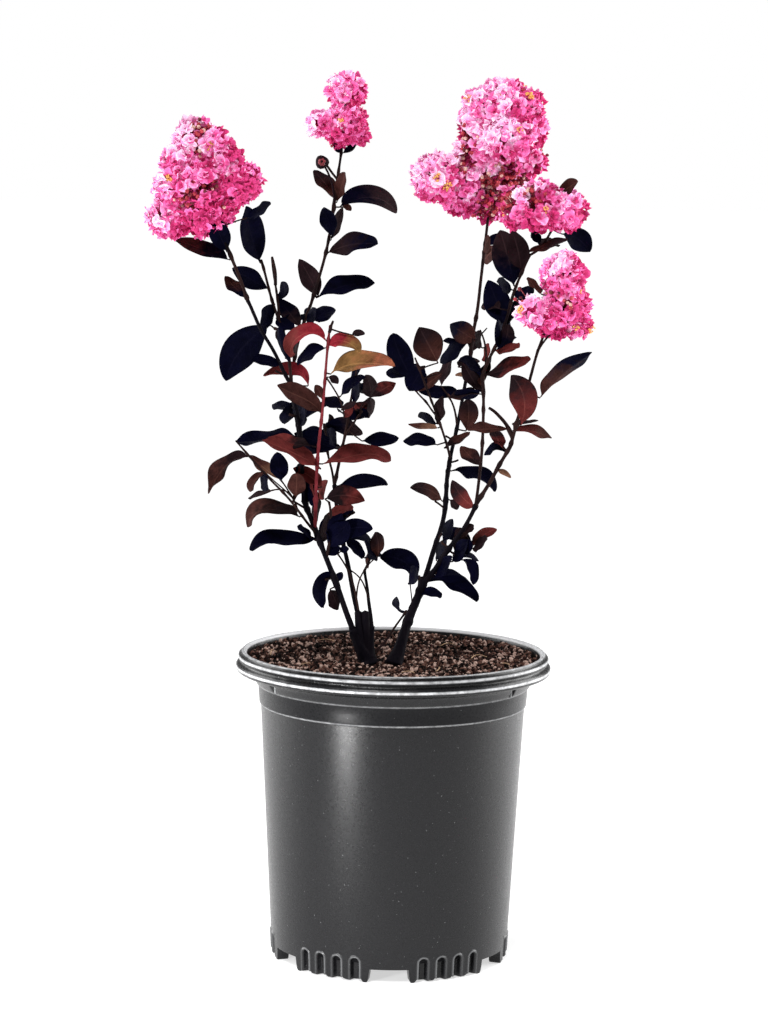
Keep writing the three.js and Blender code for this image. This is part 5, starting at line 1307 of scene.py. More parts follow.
def petal_shape(rng):
    """A petal: a narrow claw, then a round limb crimped like crepe. X is outwards, Z is the flower's axis."""
    claw = [[x, side * 0.03, 0.9 * x - 0.35 * x * x] for x in (0, 0.17) for side in (-1, 1)]
    root = np.array([PETAL_MIDDLE, 0, 0.9 * PETAL_MIDDLE - 0.35 * PETAL_MIDDLE ** 2])
    angles = np.radians(np.linspace(-140, 140, PETAL_TURNS))
    crimp = waves(rng, 3, 2.5, 5.5)
    fine = waves(rng, 2, 8, 10)
    bend = rng.uniform(0.4, 1.15)
    cup = rng.uniform(-0.5, 0.9)
    rows = [root[None, :]]
    for ring in PETAL_RINGS:
        reach = 0.46 * ring * (1 + 0.03 * crimp(angles + 5))
        out = reach * np.cos(angles)
        aside = reach * np.sin(angles) * 0.98
        lift = 0.15 * ring ** 1.3 * crimp(angles) + 0.03 * ring ** 2 * fine(angles)
        slope = 0.55 - bend * ring
        rows.append(np.stack([root[0] + out + 0.2 * lift * ring, aside,
                              root[2] + out * slope + cup * aside ** 2 * 2 + lift], -1))
    centre = len(claw)
    first = np.arange(PETAL_TURNS - 1) + centre + 1
    faces = [
        np.array([[2, 3, 1, 0]]),
        (strips(len(PETAL_RINGS), PETAL_TURNS) + centre + 1)[:, ::-1],
        np.stack([np.full(PETAL_TURNS - 1, centre), first, first + 1], -1),
        np.array([[2, 3, centre]]),
    ]
    round_spots = np.tile(np.linspace(0, 1, PETAL_TURNS), len(PETAL_RINGS))
    spots = np.concatenate([np.tile([[0.5, 0.05]], (centre + 1, 1)),
                            np.stack([round_spots, np.repeat(PETAL_RINGS, PETAL_TURNS)], -1)])
    return np.concatenate([claw] + rows), faces, spots


def turned(axes, towards, angle):
    """Three axes turned so that the first one moves towards another."""
    moved = axes.copy()
    moved[0] = axes[0] * math.cos(angle) + axes[towards] * math.sin(angle)
    moved[towards] = axes[towards] * math.cos(angle) - axes[0] * math.sin(angle)
    return moved


def axes_of(out, spin):
    """The three axes of a flower that faces outwards: spun side, spun aside and out."""
    side = unit(np.cross(out, [0.03, 0.02, 1.0]))
    return turned(np.stack([side, np.cross(out, side), out]), 1, spin)


def bud_shape(rings, sides):
    """A round flower bud with three soft ribs and a small point."""
    t = np.linspace(0.02, 1, rings)
    angles = np.arange(sides) / sides * 2 * math.pi
    radius = np.sin(math.pi * t ** 0.85) ** 0.7 * (1 - 0.1 * t) + 0.02
    points = []
    for here, reach in zip(t, radius):
        ring = reach * (1 + 0.07 * np.cos(3 * angles))
        height = np.full(sides, 2.1 * here)
        points.append(np.stack([ring * np.cos(angles), ring * np.sin(angles), height], -1))
    hubs = np.array([[0, 0, 0], [0, 0, 2.25]])
    return np.concatenate(points + [hubs]), closed_rings(rings, sides)


# ---------------------------------------------------------------- materials


def linear(red, green, blue):
    """A base colour from its screen values of 0 to 255."""
    values = np.array([red, green, blue]) / 255
    return tuple(np.where(values <= 0.04045, values / 12.92, ((values + 0.055) / 1.055) ** 2.4)) + (1.0,)


class Finish:
    """A node material on one Principled shader."""

    def __init__(self, name, roughness, specular=0.5):
        self.material = bpy.data.materials.new(name)
        self.material.use_nodes = True
        self.tree = self.material.node_tree
        self.shader = next(node for node in self.tree.nodes if node.type == "BSDF_PRINCIPLED")
        self.shader.inputs["Roughness"].default_value = roughness
        self.shader.inputs["Specular IOR Level"].default_value = specular
        self.place = self.tree.nodes.new("ShaderNodeTexCoord")

    def node(self, kind, **settings):
        """A new node. Each setting is the value of an input, or a property of the node."""
        node = self.tree.nodes.new(kind)
        for key, value in settings.items():
            if key in node.inputs:
                node.inputs[key].default_value = value
            else:
                setattr(node, key, value)
        return node

    def link(self, source, target):
        self.tree.links.new(source, target)

    def parts(self, place):
        """X, Y and Z of a place on the object or on its UV map."""
        split = self.node("ShaderNodeSeparateXYZ")
        self.link(self.place.outputs[place], split.inputs["Vector"])
        return list(split.outputs)

    def noise(self, scale, detail=3.0, roughness=0.6, stretch=None):
        """Cloudy noise over the object, from about 0.3 to 0.7."""
        node = self.node("ShaderNodeTexNoise", Scale=scale, Detail=detail, Roughness=roughness)
        source = self.place.outputs["Object"]
        if stretch:
            shape = self.node("ShaderNodeMapping", Scale=stretch)
            self.link(source, shape.inputs["Vector"])
            source = shape.outputs["Vector"]
        self.link(source, node.inputs["Vector"])
        return node.outputs["Fac"]

    def ramp(self, source, stops):
        """Colours between stops, which are shares with their colours."""
        node = self.node("ShaderNodeValToRGB")
        points = node.color_ramp.elements
        while len(points) < len(stops):
            points.new(0.5)
        for point, (position, colour) in zip(points, stops):
            point.position = position
            point.color = colour
        self.link(source, node.inputs["Fac"])
        return node.outputs["Color"]

    def grey(self, source, low, high, first=0.0, last=1.0):
        """A value that runs from first to last while the source runs from low to high."""
        node = self.node("ShaderNodeMapRange")
        for key, value in (("From Min", low), ("From Max", high), ("To Min", first), ("To Max", last)):
            node.inputs[key].default_value = value
        self.link(source, node.inputs["Value"])
        return node.outputs["Result"]

    def mix(self, share, first, second):
        """A colour between two, each a plain colour or an output."""
        node = self.node("ShaderNodeMix", data_type="RGBA")
        self.link(share, node.inputs["Factor"])
        for socket, value in ((node.inputs[6], first), (node.inputs[7], second)):
            if isinstance(value, tuple):
                socket.default_value = value
            else:
                self.link(value, socket)
        return node.outputs[2]

    def maths(self, operation, first, second=None):
        """The result of an operation on one or two values, each a number or an output."""
        node = self.node("ShaderNodeMath", operation=operation)
        for socket, value in zip(node.inputs, (first, second)):
            if isinstance(value, (int, float)):
                socket.default_value = value
            elif value is not None:
                self.link(value, socket)
        return node.outputs[0]

    def colour(self, source):
        self.link(source, self.shader.inputs["Base Color"])

    def rough(self, source):
        self.link(source, self.shader.inputs["Roughness"])

    def bump(self, source, strength, distance):
        node = self.node("ShaderNodeBump", Strength=strength, Distance=distance)
        self.link(source, node.inputs["Height"])
        self.link(node.outputs["Normal"], self.shader.inputs["Normal"])


def shade(colour, share):
    """A base colour made darker or lighter."""
    return tuple(value * share for value in colour[:3]) + (1.0,)


# Heights, half widths and strengths of the pale highlights painted on the moulded edges of the pot.
PAINTED_HIGHLIGHT_EDGES = ((214.0, 1.2, 0.95), (201.2, 0.9, 0.25), (187.1, 0.9, 0.4), (221.3, 1.2, 0.7),
                (225.0, 0.9, 0.75))
# Heights, half widths and strengths of the folds that are painted near black as shade.
PAINTED_SHADE_FOLDS = ((217.9, 1.3, 0.85), (210.4, 1.7, 0.8), (223.3, 0.6, 0.7), (186.0, 0.7, 0.5))
# Where the rim's inside begins, by radius and by height, and the heights over which a painted highlight
# turns its lip pale.
RIM_INSIDE_RADII = (108.9, 109.5)
RIM_INSIDE_FOOT = (211, 212)
RIM_LIP_HIGHLIGHT = (222.6, 223.6)


def plastic_finish(name, shine):
    """Dark satin plastic: faint mottling, fine grain, dust specks, painted highlights and painted shade."""
    finish = Finish(name, 0.28, shine)
    maths, grey = finish.maths, finish.grey
    x, y, z = finish.parts("Object")

    def between(source, low, high, first=0.0, last=1.0):
        return grey(source, low * MM, high * MM, first, last)

    def bands(rows, core):
        """Soft bands round the pot, each full over a core share of its half width."""
        together = None
        for height, half, share in rows:
            away = maths("ABSOLUTE", maths("SUBTRACT", z, height * MM))
            band = between(away, half * core, half, share, 0.0)
            together = band if together is None else maths("MAXIMUM", together, band)
        return together

    colour = finish.ramp(finish.noise(900, 5), [(0.35, linear(16, 16, 18)), (0.7, linear(25, 25, 27))])
    patchy = grey(finish.noise(160, 3), 0.38, 0.6)
    # Painted highlights: pale bands on the moulded edges, broken up in patches.
    painted_highlight = maths("MULTIPLY", bands(PAINTED_HIGHLIGHT_EDGES, 0.35), grey(patchy, 0.0, 1.0, 0.5, 1.0))
    across = finish.node("ShaderNodeCombineXYZ")
    finish.link(x, across.inputs["X"])
    finish.link(y, across.inputs["Y"])
    reach = finish.node("ShaderNodeVectorMath", operation="LENGTH")
    finish.link(across.outputs["Vector"], reach.inputs[0])
    # The rim's inside loses the painted edge highlights, as in shade; its lip gets a painted highlight.
    inner = maths("MULTIPLY", between(reach.outputs["Value"], *RIM_INSIDE_RADII, 1.0, 0.0),
                  between(z, *RIM_INSIDE_FOOT))
    lip = maths("MULTIPLY", inner, between(z, *RIM_LIP_HIGHLIGHT, 0.0, 0.85))
    painted_highlight = maths("MAXIMUM", maths("MULTIPLY", painted_highlight, grey(inner, 0.0, 1.0, 1.0, 0.0)), lip)
    # The first UV coordinate carries the painted highlights of the arch lips and slot ribs.
    painted_highlight = maths("MAXIMUM", painted_highlight, finish.parts("UV")[0])
    # Painted shade: the folds turn near black.
    colour = finish.mix(bands(PAINTED_SHADE_FOLDS, 0.5), colour, linear(3, 3, 3))
    # The painted highlights turn the colour pale.
    colour = finish.mix(painted_highlight, colour, linear(214, 215, 217))
    specks = grey(finish.noise(700, 1), 0.77, 0.8)
    finish.colour(finish.mix(specks, colour, linear(120, 121, 122)))
    finish.rough(grey(finish.noise(500, 4), 0.3, 0.7, 0.24, 0.33))
    finish.bump(finish.noise(2200, 2), 0.2, 0.0003)
    return finish.material


def crumb_finish(name, low, high):
    """Dull crumbs of bark or straws, mottled from a dark to a light colour."""
    finish = Finish(name, 0.9, 0.08)
    finish.colour(finish.ramp(finish.noise(700, 4), [(0.3, linear(*low)), (0.72, linear(*high))]))
    finish.bump(finish.noise(1500, 3), 0.5, 0.0006)
    return finish.material


def bark_finish(name, low, high):
    """Bark with upright streaks, from a dark to a light colour."""
    finish = Finish(name, 0.68, 0.025)
    streaks = finish.noise(160, 5, 0.65, stretch=(1, 1, 0.22))
    finish.colour(finish.ramp(streaks, [(0.3, linear(*low)), (0.75, linear(*high))]))
    finish.bump(finish.noise(500, 4, 0.6, stretch=(1, 1, 0.3)), 0.5, 0.0006)
    return finish.material


LEAF_ROUGH = 0.62
LEAF_SHINE = 0.015


def leaf_finish(name, foot, tip):
    """A leaf: mottled, paler along its veins, and turning from one colour at its foot to another."""
    finish = Finish(name, LEAF_ROUGH, LEAF_SHINE)
    maths = finish.maths
    x, y, _ = finish.parts("UV")
    side = maths("ABSOLUTE", maths("SUBTRACT", x, 0.5))
    mottle = finish.noise(120, 4)
    wave = maths("SUBTRACT", maths("MULTIPLY", y, VEIN_PAIRS), maths("MULTIPLY", side, 3.2))
    veins = maths("ABSOLUTE", maths("SINE", maths("MULTIPLY", wave, math.pi)))
    vein = maths("MAXIMUM", finish.grey(veins, 0.0, 0.2, 0.3, 0.0), finish.grey(side, 0.01, 0.04, 0.9, 0.0))
    parts = []
    for colour, rim in (foot, tip)[:1 if foot == tip else 2]:
        mottled = finish.ramp(mottle, [(0.3, shade(colour, 0.55)), (0.7, shade(colour, 1.4))])
        parts.append(finish.mix(vein, mottled, rim))
    if len(parts) > 1:
        along = maths("ADD", y, maths("MULTIPLY", maths("SUBTRACT", mottle, 0.5), 0.9))
        parts = [finish.mix(finish.grey(along, 0.35, 0.72), *parts)]
    finish.colour(parts[0])
    finish.rough(finish.grey(finish.noise(200, 3), 0.3, 0.7, LEAF_ROUGH - 0.08, LEAF_ROUGH + 0.12))
    finish.bump(maths("ADD", finish.noise(900, 3), maths("MULTIPLY", vein, -0.6)), 0.45, 0.0004)
    return finish.material


def petal_finish(name, heart, rim):
    """A petal: deeper towards its claw, paler on its crimped rim, and with a faint painted glow."""
    finish = Finish(name, 0.62, 0.25)
    heart, rim = linear(*heart), linear(*rim)
    along = finish.ramp(finish.parts("UV")[1], [(0.15, heart), (0.95, rim)])
    colour = finish.mix(finish.grey(finish.noise(350, 3), 0.35, 0.75, 0.0, 0.5), along, shade(rim, 1.08))
    finish.colour(colour)
    # Painted light: the petal glows faintly in its own colour, in place of light shining through it.
    finish.link(colour, finish.shader.inputs["Emission Color"])
    finish.shader.inputs["Emission Strength"].default_value = 0.1
    finish.bump(finish.noise(1600, 3), 0.4, 0.0004)
    return finish.material


def plain_finish(name, low, high):
    """A satin skin, mottled from a dark to a light colour."""
    finish = Finish(name, 0.6, 0.4)
    finish.colour(finish.ramp(finish.noise(500, 3), [(0.35, linear(*low)), (0.7, linear(*high))]))
    finish.bump(finish.noise(1000, 3), 0.4, 0.0003)
    return finish.material


def floor_finish():
    """A pale floor that glows a little, as white paper does in a bright studio."""
    finish = Finish("floor_pale", 0.9, 0.2)
    glow = finish.noise(3, 3)
    finish.colour(finish.ramp(glow, [(0.3, (0.5, 0.5, 0.5, 1)), (0.7, (0.54, 0.54, 0.54, 1))]))
    finish.shader.inputs["Emission Color"].default_value = (1, 1, 1, 1)
    finish.shader.inputs["Emission Strength"].default_value = 0.6
    return finish.material


# ---------------------------------------------------------------- the plant

rng = np.random.default_rng(20)
limbs, twigs, leaves = grow()
settle(limbs, twigs, leaves, rng)
seen_rng = np.random.default_rng(31)
carriers = Carriers(list(limbs.values()) + twigs)
for seen_row in SEEN_TWIGS:
    twigs.append(seen_twig(seen_row, carriers, seen_rng))
    carriers.add(twigs[-1])
seen_leaves = [seen_leaf(seen_row, carriers, seen_rng) for seen_row in SEEN_LEAVES]
mask = Mask()
for leaf in seen_leaves:
    centre, across, _, half = seen_blade(leaf, np.linspace(0, 1, 40))
    sides = np.linspace(-1, 1, 9)[None, :, None]
    mask.cover((centre[:, None] + across[:, None] * sides * half[:, None, None]).reshape(-1, 3))
for limb in carriers.limbs:
    mask.cover(limb_path(limb, np.linspace(0, 1, 200)))
leaves = keep_hidden(leaves, mask)
blossom_rows = [row for row in SHOOTS if "lobes" in row]
foliage_nodes = [row["name"] for row in SHOOTS]
blossom_nodes = [row["name"] for row in blossom_rows]

BARK = bark_finish("old_bark", (4, 4, 10), (20, 15, 20))
YOUNG_BARK = bark_finish("shoot_bark", (10, 7, 11), (50, 33, 31))
RED_BARK = bark_finish("red_shoot_bark", (66, 22, 28), (126, 46, 52))
# A twig that is thicker than this at its foot has old bark.
THICK_TWIG = 2.3
# The finishes of shoots and twigs.
YOUNG, RED, OLD = range(3)
# Of each kind of limb: length of a step, sides, roughness of the bark, and share of the solid's radius.
TUBES = {
    "trunk": (1.1, 20, 0.1, 1.0),
    "bough": (1.5, 14, 0.05, 0.84),
    "shoot": (1.6, 10, 0.035, 0.9),
    "twig": (1.6, 8, 0.03, 1.0),
}


def make_wood():
    """The trunks and the boughs."""
    wood = Gather("woody_limbs")
    for row in TRUNKS + BOUGHS:
        kind = "trunk" if row in TRUNKS else "bough"
        wood.add(*limb_tube(limbs[row["name"]], rng, *TUBES[kind]))
    nodes = ["trunk_left", "trunk_right"] + [row["name"] for row in BOUGHS]
    return wood.make([BARK], "bark", nodes)


def make_shoots():
    """The young shoots, the twigs and the leaf stalks."""
    shoots = Gather("young_shoots")
    for row in SHOOTS:
        tint = RED if row["tint"] == "red" else YOUNG
        shoots.add(*limb_tube(limbs[row["name"]], rng, *TUBES["shoot"]), tint)
    for twig in twigs:
        tint = OLD if twig.radius(0.0) > THICK_TWIG else YOUNG
        shoots.add(*limb_tube(twig, rng, *TUBES["twig"]), tint)
    for leaf in seen_leaves:
        if leaf["stalk"] is not None:
            path = bowed(*leaf["stalk"], np.linspace(0, 1, 7)[:, None])
            shoots.add(*tube(path, np.linspace(0.65, 0.5, 7), 7), YOUNG)
    return shoots.make([YOUNG_BARK, RED_BARK, BARK], "bark", foliage_nodes)


# How much the pot shines outside, in its band under the rim, and inside.
POT_SHINES = {"pot_plastic": 0.28, "pot_band": 0.14, "pot_inside": 0.06}
make_pot([plastic_finish(name, shine) for name, shine in POT_SHINES.items()])
CRUMBS = [
    crumb_finish("crumb_dark", (20, 8, 6), (46, 26, 22)),
    crumb_finish("crumb_brown", (58, 36, 30), (110, 80, 70)),
    crumb_finish("crumb_tan", (124, 98, 88), (196, 168, 156)),
    crumb_finish("crumb_black", (4, 1, 0), (12, 5, 4)),
    crumb_finish("straw", (140, 108, 84), (196, 168, 138)),
]
soil = make_soil(rng)
make_fibres(soil, len(CRUMBS) - 1)
soil.make(CRUMBS, "soil", ["soil"])
make_wood()
make_shoots()

# Screen values of each leaf colour: its blade and its veins.
LEAF_COLOURS = {
    "navy": ((4, 4, 21), (11, 10, 27)),
    "plum": ((30, 19, 22), (48, 34, 36)),
    "brown": ((56, 31, 28), (80, 50, 44)),
    "maroon": ((92, 38, 37), (112, 56, 52)),
    "crimson": ((128, 34, 44), (150, 54, 58)),
    "gold": ((124, 90, 54), (152, 114, 70)),
    "rust": ((136, 78, 56), (162, 102, 76)),
    "tan": ((108, 76, 60), (140, 104, 84)),
}
LEAF_TINTS = ["navy", "plum", "brown", "maroon"]
LEAF_TINTS += sorted({row[-1] for row in SEEN_LEAVES} - set(LEAF_TINTS))


# Shares of the first tints among the leaves of the rule, by the tint of their shoot.
TINT_SHARES = {"dark": (0.8, 0.17, 0.03), "brown": (0.45, 0.35, 0.2), "red": (0.3, 0.3, 0.2, 0.2)}


def make_leaf_finish(tints):
    """The finish of a tint, or of the two tints of foot and tip."""
    colours = [tuple(linear(*values) for values in LEAF_COLOURS[name]) for name in tints.split()]
    return leaf_finish("leaf_" + tints.replace(" ", "_"), colours[0], colours[-1])


def leaf_tint(leaf, draw):
    """The number of the tint that a leaf of the rule is dealt."""
    return int(np.searchsorted(np.cumsum(TINT_SHARES[leaf["tint"]]), draw()))


def make_leaves():
    """The leaves of the rule, and those that are seen."""
    foliage = Gather("leaves")
    draw = seeded(77)
    for leaf in leaves + seen_leaves:
        seen = "tints" in leaf
        rows = max(14, int(leaf["length"] * (0.7 if seen else 0.62)))
        points, over, under, spots = leaf_shape(leaf, rows, 9, rng, seen_blade if seen else blade)
        tint = LEAF_TINTS.index(leaf["tints"]) if seen else leaf_tint(leaf, draw)
        foliage.add(points, [over, under], tint, spots)
    foliage.make([make_leaf_finish(tints) for tints in LEAF_TINTS], "leaf_dark", foliage_nodes)


make_leaves()

# Copies of one pink from pale to shaded, dealt to the flowers mostly as painted light and shade.
PETAL_FINISHES = [
    petal_finish("petal_pale", (240, 136, 196), (255, 224, 246)),
    petal_finish("petal_light", (238, 92, 166), (251, 174, 222)),
    petal_finish("petal_bright", (226, 54, 134), (242, 122, 190)),
    petal_finish("petal_deep", (176, 24, 82), (216, 62, 132)),
    petal_finish("petal_shaded", (104, 12, 40), (158, 30, 80)),
]
STEM_RED = plain_finish("flower_stem_red", (84, 18, 28), (140, 40, 50))
CALYX = plain_finish("calyx_red", (140, 26, 42), (204, 66, 80))
BUD_DARK = bark_finish("bud_dark", (14, 8, 12), (36, 20, 26))
CREAM = plain_finish("bud_cream", (206, 150, 140), (240, 206, 192))
ANTHER = plain_finish("anther_yellow", (232, 164, 70), (250, 206, 128))
FILAMENT = plain_finish("filament_pale", (236, 150, 140), (250, 204, 190))
# The side from which painted light falls on flowers, and how much of it the three paler finishes need.
HUE_LIGHT = unit(np.array([-0.55, -0.35, 0.75]))
HUE_STEPS = (0.72, 0.2, -0.45)
# Shares of the flowers with stamens and of the seats with buds, beside those at the spots.
OPEN_HEARTS = 0.025
BUD_SHARE = 0.015
# Where buds and red stalks show between the flowers: pixels and radius in pixels.
BUD_SPOTS = [
    (198, 133, 11), (195, 149, 8), (196, 187, 5), (213, 182, 5), (188, 200, 6), (465, 138, 10), (468, 156, 9),
    (523, 98, 5), (505, 172, 11), (488, 182, 11), (522, 178, 10), (490, 205, 11), (508, 200, 10),
    (488, 218, 10), (530, 195, 9), (562, 288, 6), (570, 305, 7),
]
BUDS_TOGETHER = 7
# The finishes of stalks and buds, those that the small buds are dealt, and those of stamens.
STALK, SEPAL, PALE_BUD, DARK_BUD = range(4)
BUD_TINTS = (STALK, SEPAL, SEPAL, SEPAL, SEPAL, SEPAL, PALE_BUD, PALE_BUD)
ANTHERS, FILAMENTS = range(2)
# Where open flowers show their yellow hearts, and how many pixels a flower may be away from there.
HEART_SPOTS = [
    (176, 159), (166, 181), (214, 151), (315, 126), (442, 178), (447, 184), (465, 194), (471, 108),
    (529, 106), (527, 315),
]
HEART_REACH = 9.0
# How many stamens a flower has and how far they spread, where it is seen open and elsewhere.
SHOWN_STAMENS, OPEN_STAMENS = (26, 0.75), (9, 0.4)
# Pixels along the stalk of the bud that opens beside the middle stem, and of the bud's centre.
OPENING_STALK = ((337, 202), (331, 180), (325, 167))
OPENING_BUD = (322, 162)
# The number of the darkest finish of petals, which is painted shade.
# Flowers of the other finishes vary among those.
SHADED = 4


def near_spot(place):
    """Whether the camera sees a place on its near side at one of the spots of buds."""
    pixel = seen_at(place)
    return any(np.hypot(*(pixel - spot[:2])) < spot[2] for spot in np.array(BUD_SPOTS, float))


def heart_spot(place, left):
    """The spot of a yellow heart that a flower is seen at, taken off the list of those left, or none."""
    pixel = seen_at(place)
    for spot in left:
        if np.hypot(*(pixel - np.array(spot))) < HEART_REACH:
            left.remove(spot)
            return True
    return False


class Sprays:
    """Petals of a few kinds, gathered so that each kind is copied in one go."""

    def __init__(self):
        self.rows = [[] for _ in range(PETAL_KINDS)]

    def flower(self, seat, out, spin, size, hue, spread, lean_by):
        """Adds one flower, and gives its axes. Its inner petals are smaller and steeper."""
        axes = axes_of(unit(out + rng.normal(0, spread, 3)), spin)
        for petal in range(PETALS + INNER_PETALS):
            inner = petal >= PETALS
            step, steeper, share = (1.3, 0.75, 0.62) if inner else (1, 0, 1)
            mine = turned(axes, 1, (petal * step + rng.normal(0, 0.2)) * 2 * math.pi / PETALS)
            mine = turned(mine, 2, rng.normal(lean_by + steeper, 0.33))
            tint = hue
            if hue < SHADED:
                # A step either way at random, and inner petals often a step deeper: painted shade in the
                # flower's heart.
                deeper = rng.choice([-1, 0, 0, 1]) + (inner and rng.random() < 0.6)
                tint = int(np.clip(hue + deeper, 0, SHADED - 1))
            kind = int(rng.integers(PETAL_KINDS))
            long = FLOWER_RADIUS * size * rng.uniform(0.84, 1.08) * share
            self.rows[kind].append((seat - out * 2.2, mine, long, tint))
        return axes

    def make(self, name, shapes, node):
        """Makes one object of all the petals."""
        petals = Gather(name)
        for (points, faces, spots), rows in zip(shapes, self.rows):
            if rows:
                places, frames, sizes, tints = zip(*rows)
                petals.copies(points, faces, np.array(places), np.array(frames), sizes, tints, spots)
        return petals.make(PETAL_FINISHES, "blossom", [node])


def hue_of(out, paler):
    """Flowers on the side of the light are painted palest, as light, and the others deeper, as shade."""
    light = float(out @ HUE_LIGHT) + rng.normal(0, 0.3) + paler
    return sum(light < step for step in HUE_STEPS)


def add_opening_bud(stalks, ball, ball_faces):
    """The dark bud with a red heart beside the middle stem, on its own short stalk."""
    _, _, foot, _ = carriers.nearest(OPENING_STALK[0])
    centre = behind_pixel(OPENING_BUD, foot[1] - 3)
    path = behind_pixel(smooth_path([seen_at(foot), *OPENING_STALK[1:]], 8), foot[1] - 2)
    stalks.add(*tube(path, np.full(8, 0.8), 7), DARK_BUD)
    level = np.stack([view_across, view_above, -view_forward])
    bud, bud_faces = bud_shape(8, 14)
    stalks.copies(bud - [0, 0, 1.1], bud_faces, [centre], level[None], [5.2], DARK_BUD)
    for turn in range(6):
        side = view_across * math.cos(turn + 0.4) + view_above * math.sin(turn + 0.4)
        place = centre - view_forward * 3.4 + side * 1.3 - view_above * 0.5
        axes = axes_of(-view_forward, turn)
        stalks.copies(ball * [1, 0.8, 0.8], [ball_faces], [place], axes[None], [2.0], STALK)


def make_blossom():
    """Flowers on stalks cover the lobes of each cluster, with buds and open hearts among them."""
    shapes = [petal_shape(rng) for _ in range(PETAL_KINDS)]
    bud, bud_faces = bud_shape(4, 7)
    calyx, calyx_faces = bud_shape(3, 5)
    ball, ball_faces = icosphere()
    hearts_left = list(HEART_SPOTS)
    stalks = Gather("flower_stalks")
    hearts = Gather("flower_hearts")

    def add_stalk(foot, seat, radius=0.6):
        """A slightly arched stalk."""
        path = bowed(foot, (foot + seat) / 2 + UP * 1.5, seat, np.linspace(0, 1, 4)[:, None])
        stalks.add(*tube(path, np.linspace(radius * 1.2, radius * 0.8, 4), 4), STALK)

    def add_buds(foot, seat, out, spin):
        """A group of small buds, each on its own stalk."""
        for _ in range(BUDS_TOGETHER):
            place = seat - out * rng.uniform(-3, 4) + rng.normal(0, 2.8, 3) - out * 2
            add_stalk(foot * 0.4 + seat * 0.6 - out * 5, place, 0.45)
            tint = int(rng.choice(BUD_TINTS))
            axes = axes_of(unit(out + rng.normal(0, 0.5, 3)), spin)
            size = rng.uniform(1.5, 2.5)
            stalks.copies(bud * [0.8, 0.8, 0.66], bud_faces, [place], axes[None], [size], tint)

    def add_stamens(seat, out, axes, count, spray):
        """Pale filaments with yellow anthers that spread from a flower's heart."""
        for _ in range(count):
            way = unit(axes[2] + axes[0] * rng.normal(0, spray) + axes[1] * rng.normal(0, spray))
            end = seat + way * FLOWER_RADIUS * rng.uniform(0.3, 0.52)
            path = np.array([seat - out * 2, (seat + end) / 2 + axes[0] * 0.3, end])
            hearts.add(*tube(path, np.array([0.18, 0.16, 0.14]), 4), FILAMENTS)
            hearts.copies(ball * [1, 0.8, 0.8], [ball_faces], [end], axes[None], [0.85], ANTHERS)

    for row in blossom_rows:
        tip = limbs[row["name"]].tip
        sprays = Sprays()
        for seat, out, spin, size, centre, paler in floret_seats(row, tip, COVER, OUTER_REACH, OUTER_SEED):
            foot = centre * 0.75 + tip * 0.25 - UP * 4
            facing = out[1] < 0.15
            if (facing and near_spot(seat)) or rng.random() < BUD_SHARE:
                add_buds(foot, seat, out, spin)
                continue
            shown = facing and heart_spot(seat, hearts_left)
            axes = sprays.flower(seat, out, spin, size * (1.2 if shown else 1), hue_of(out, paler),
                                 0.1 if shown else 0.3, 0.0)
            add_stalk(foot, seat - out * 5.5)
            stalks.copies(calyx * [0.62, 0.62, 0.55], calyx_faces, [seat - out * 6.2], axes[None], [2.6],
                          SEPAL)
            if rng.random() <= OPEN_HEARTS or shown:
                add_stamens(seat, out, axes, *(SHOWN_STAMENS if shown else OPEN_STAMENS))
        # The core's flowers fill each cluster's inside with the two darkest finishes, as painted shade.
        for seat, out, spin, size, _, _ in floret_seats(row, tip, CORE_COVER, CORE_REACH, CORE_SEED):
            sprays.flower(seat, out, spin, size * 0.95, int(rng.choice([SHADED - 1, SHADED])), 0.5, 0.2)
        sprays.make("petals_" + row["name"].split("_")[1], shapes, row["name"])
    add_opening_bud(stalks, ball, ball_faces)
    stalks.make([STEM_RED, CALYX, CREAM, BUD_DARK], "blossom", blossom_nodes)
    hearts.make([ANTHER, FILAMENT], "blossom", blossom_nodes)


make_blossom()


# ---------------------------------------------------------------- floor, light and camera

FLOOR_REACH = 30.0
FLOOR = floor_finish()


def make_floor():
    """A pale round floor."""
    rim = [(FLOOR_REACH * math.cos(a), FLOOR_REACH * math.sin(a), 0) for a in np.radians(range(0, 360, 6))]
    mesh = bpy.data.meshes.new("floor")
    mesh.from_pydata(rim, [], [tuple(range(len(rim)))])
    mesh.materials.append(FLOOR)
    floor = bpy.data.objects.new("floor", mesh)
    bpy.context.scene.collection.objects.link(floor)


def stand(thing, side, above, back, place):
    """Places a lamp or the camera by the directions of its three axes."""
    columns = np.column_stack([side, above, back, place])
    thing.matrix_world = Matrix(np.vstack([columns, [0, 0, 0, 1]]).tolist())


def face(lamp, back, place):
    """Places a lamp so that its back points along a direction."""
    back = unit(np.array(back, float))
    side = unit(np.cross(UP if abs(back[2]) < 0.99 else np.array([0, 1.0, 0]), back))
    stand(lamp, side, np.cross(back, side), back, place)


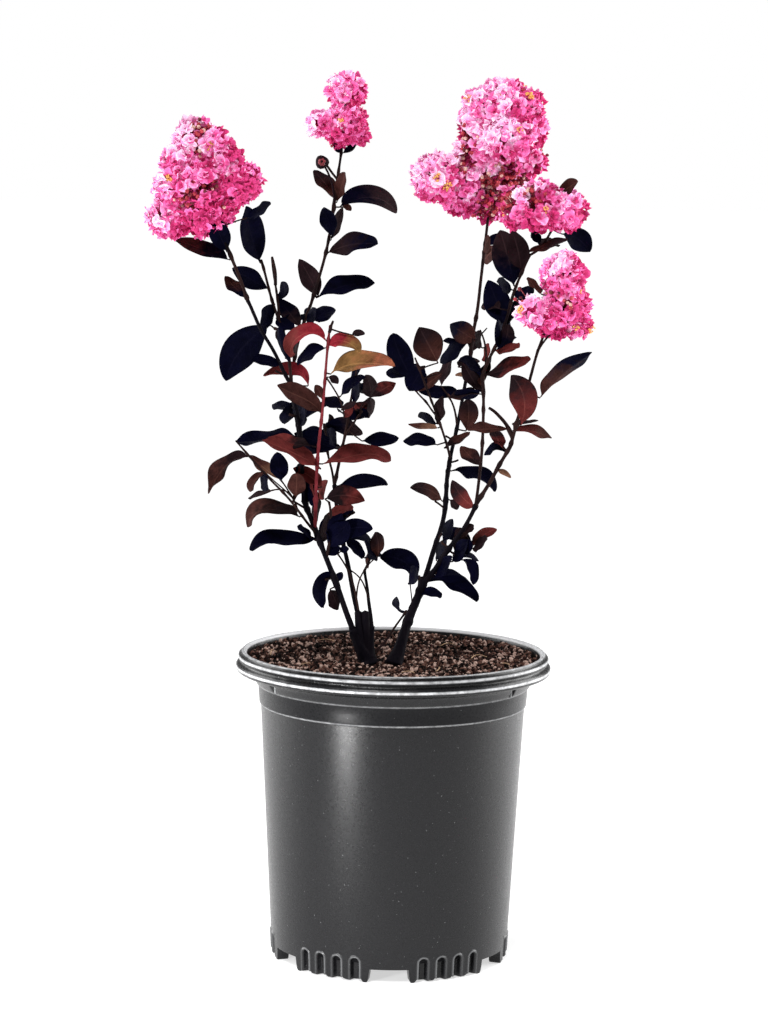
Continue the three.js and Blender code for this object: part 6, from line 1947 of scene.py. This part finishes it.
def area_light(name, place, target, size, power):
    """A soft lamp that faces a target and isn't seen itself."""
    light = bpy.data.lights.new(name, "AREA")
    light.shape = "RECTANGLE"
    light.size, light.size_y = size
    light.energy = power
    lamp = bpy.data.objects.new(name, light)
    lamp.visible_camera = False
    bpy.context.scene.collection.objects.link(lamp)
    face(lamp, np.array(place) - np.array(target), place)


AMBIENT = 0.2
SUN_STRENGTH = 2.5
SUN_ANGLE = 20.0
SUN_TURN, SUN_LIFT = -112.0, 56.0
# Soft lamps: place, the point that each faces, size and power.
LAMPS = {
    "side_left": ((-1.25, 0.5, 0.6), (0, 0, 0.3), (1.1, 1.3), 23),
    "side_right": ((1.25, 0.4, 0.6), (0, 0, 0.3), (1.3, 1.3), 34),
    "strip_left": ((-0.3, -0.41, 0.105), (0, -0.05, 0.15), (0.045, 0.055), 1.9),
}


def make_light():
    """A white studio: what the camera sees of it is white, and the light that it gives is soft."""
    world = bpy.data.worlds.new("studio")
    world.use_nodes = True
    bpy.context.scene.world = world
    tree = world.node_tree
    background = tree.nodes["Background"]
    rays = tree.nodes.new("ShaderNodeLightPath")
    strength = tree.nodes.new("ShaderNodeMapRange")
    strength.inputs["To Min"].default_value = AMBIENT
    strength.inputs["To Max"].default_value = 1.0
    tree.links.new(rays.outputs["Is Camera Ray"], strength.inputs["Value"])
    tree.links.new(strength.outputs["Result"], background.inputs["Strength"])
    background.inputs["Color"].default_value = (1, 1, 1, 1)
    sun = bpy.data.lights.new("key", "SUN")
    sun.energy = SUN_STRENGTH
    sun.angle = math.radians(SUN_ANGLE)
    lamp = bpy.data.objects.new("key", sun)
    bpy.context.scene.collection.objects.link(lamp)
    face(lamp, heading(SUN_TURN, SUN_LIFT), (0, 0, 3))
    for name, (place, target, size, power) in LAMPS.items():
        area_light(name, place, target, size, power)


def make_camera():
    """The camera that is fitted to the pot in the photograph."""
    camera = bpy.data.cameras.new("camera")
    camera.sensor_width = CAMERA_SENSOR
    camera.lens = CAMERA_LENS_PIXELS / PICTURE_TALL * CAMERA_SENSOR
    camera.clip_end = 50
    view = bpy.data.objects.new("camera", camera)
    bpy.context.scene.collection.objects.link(view)
    stand(view, view_across, view_above, -view_forward, CAMERA_PLACE)
    bpy.context.scene.camera = view


make_floor()
make_light()
make_camera()
bpy.context.scene.view_settings.view_transform = "Standard"
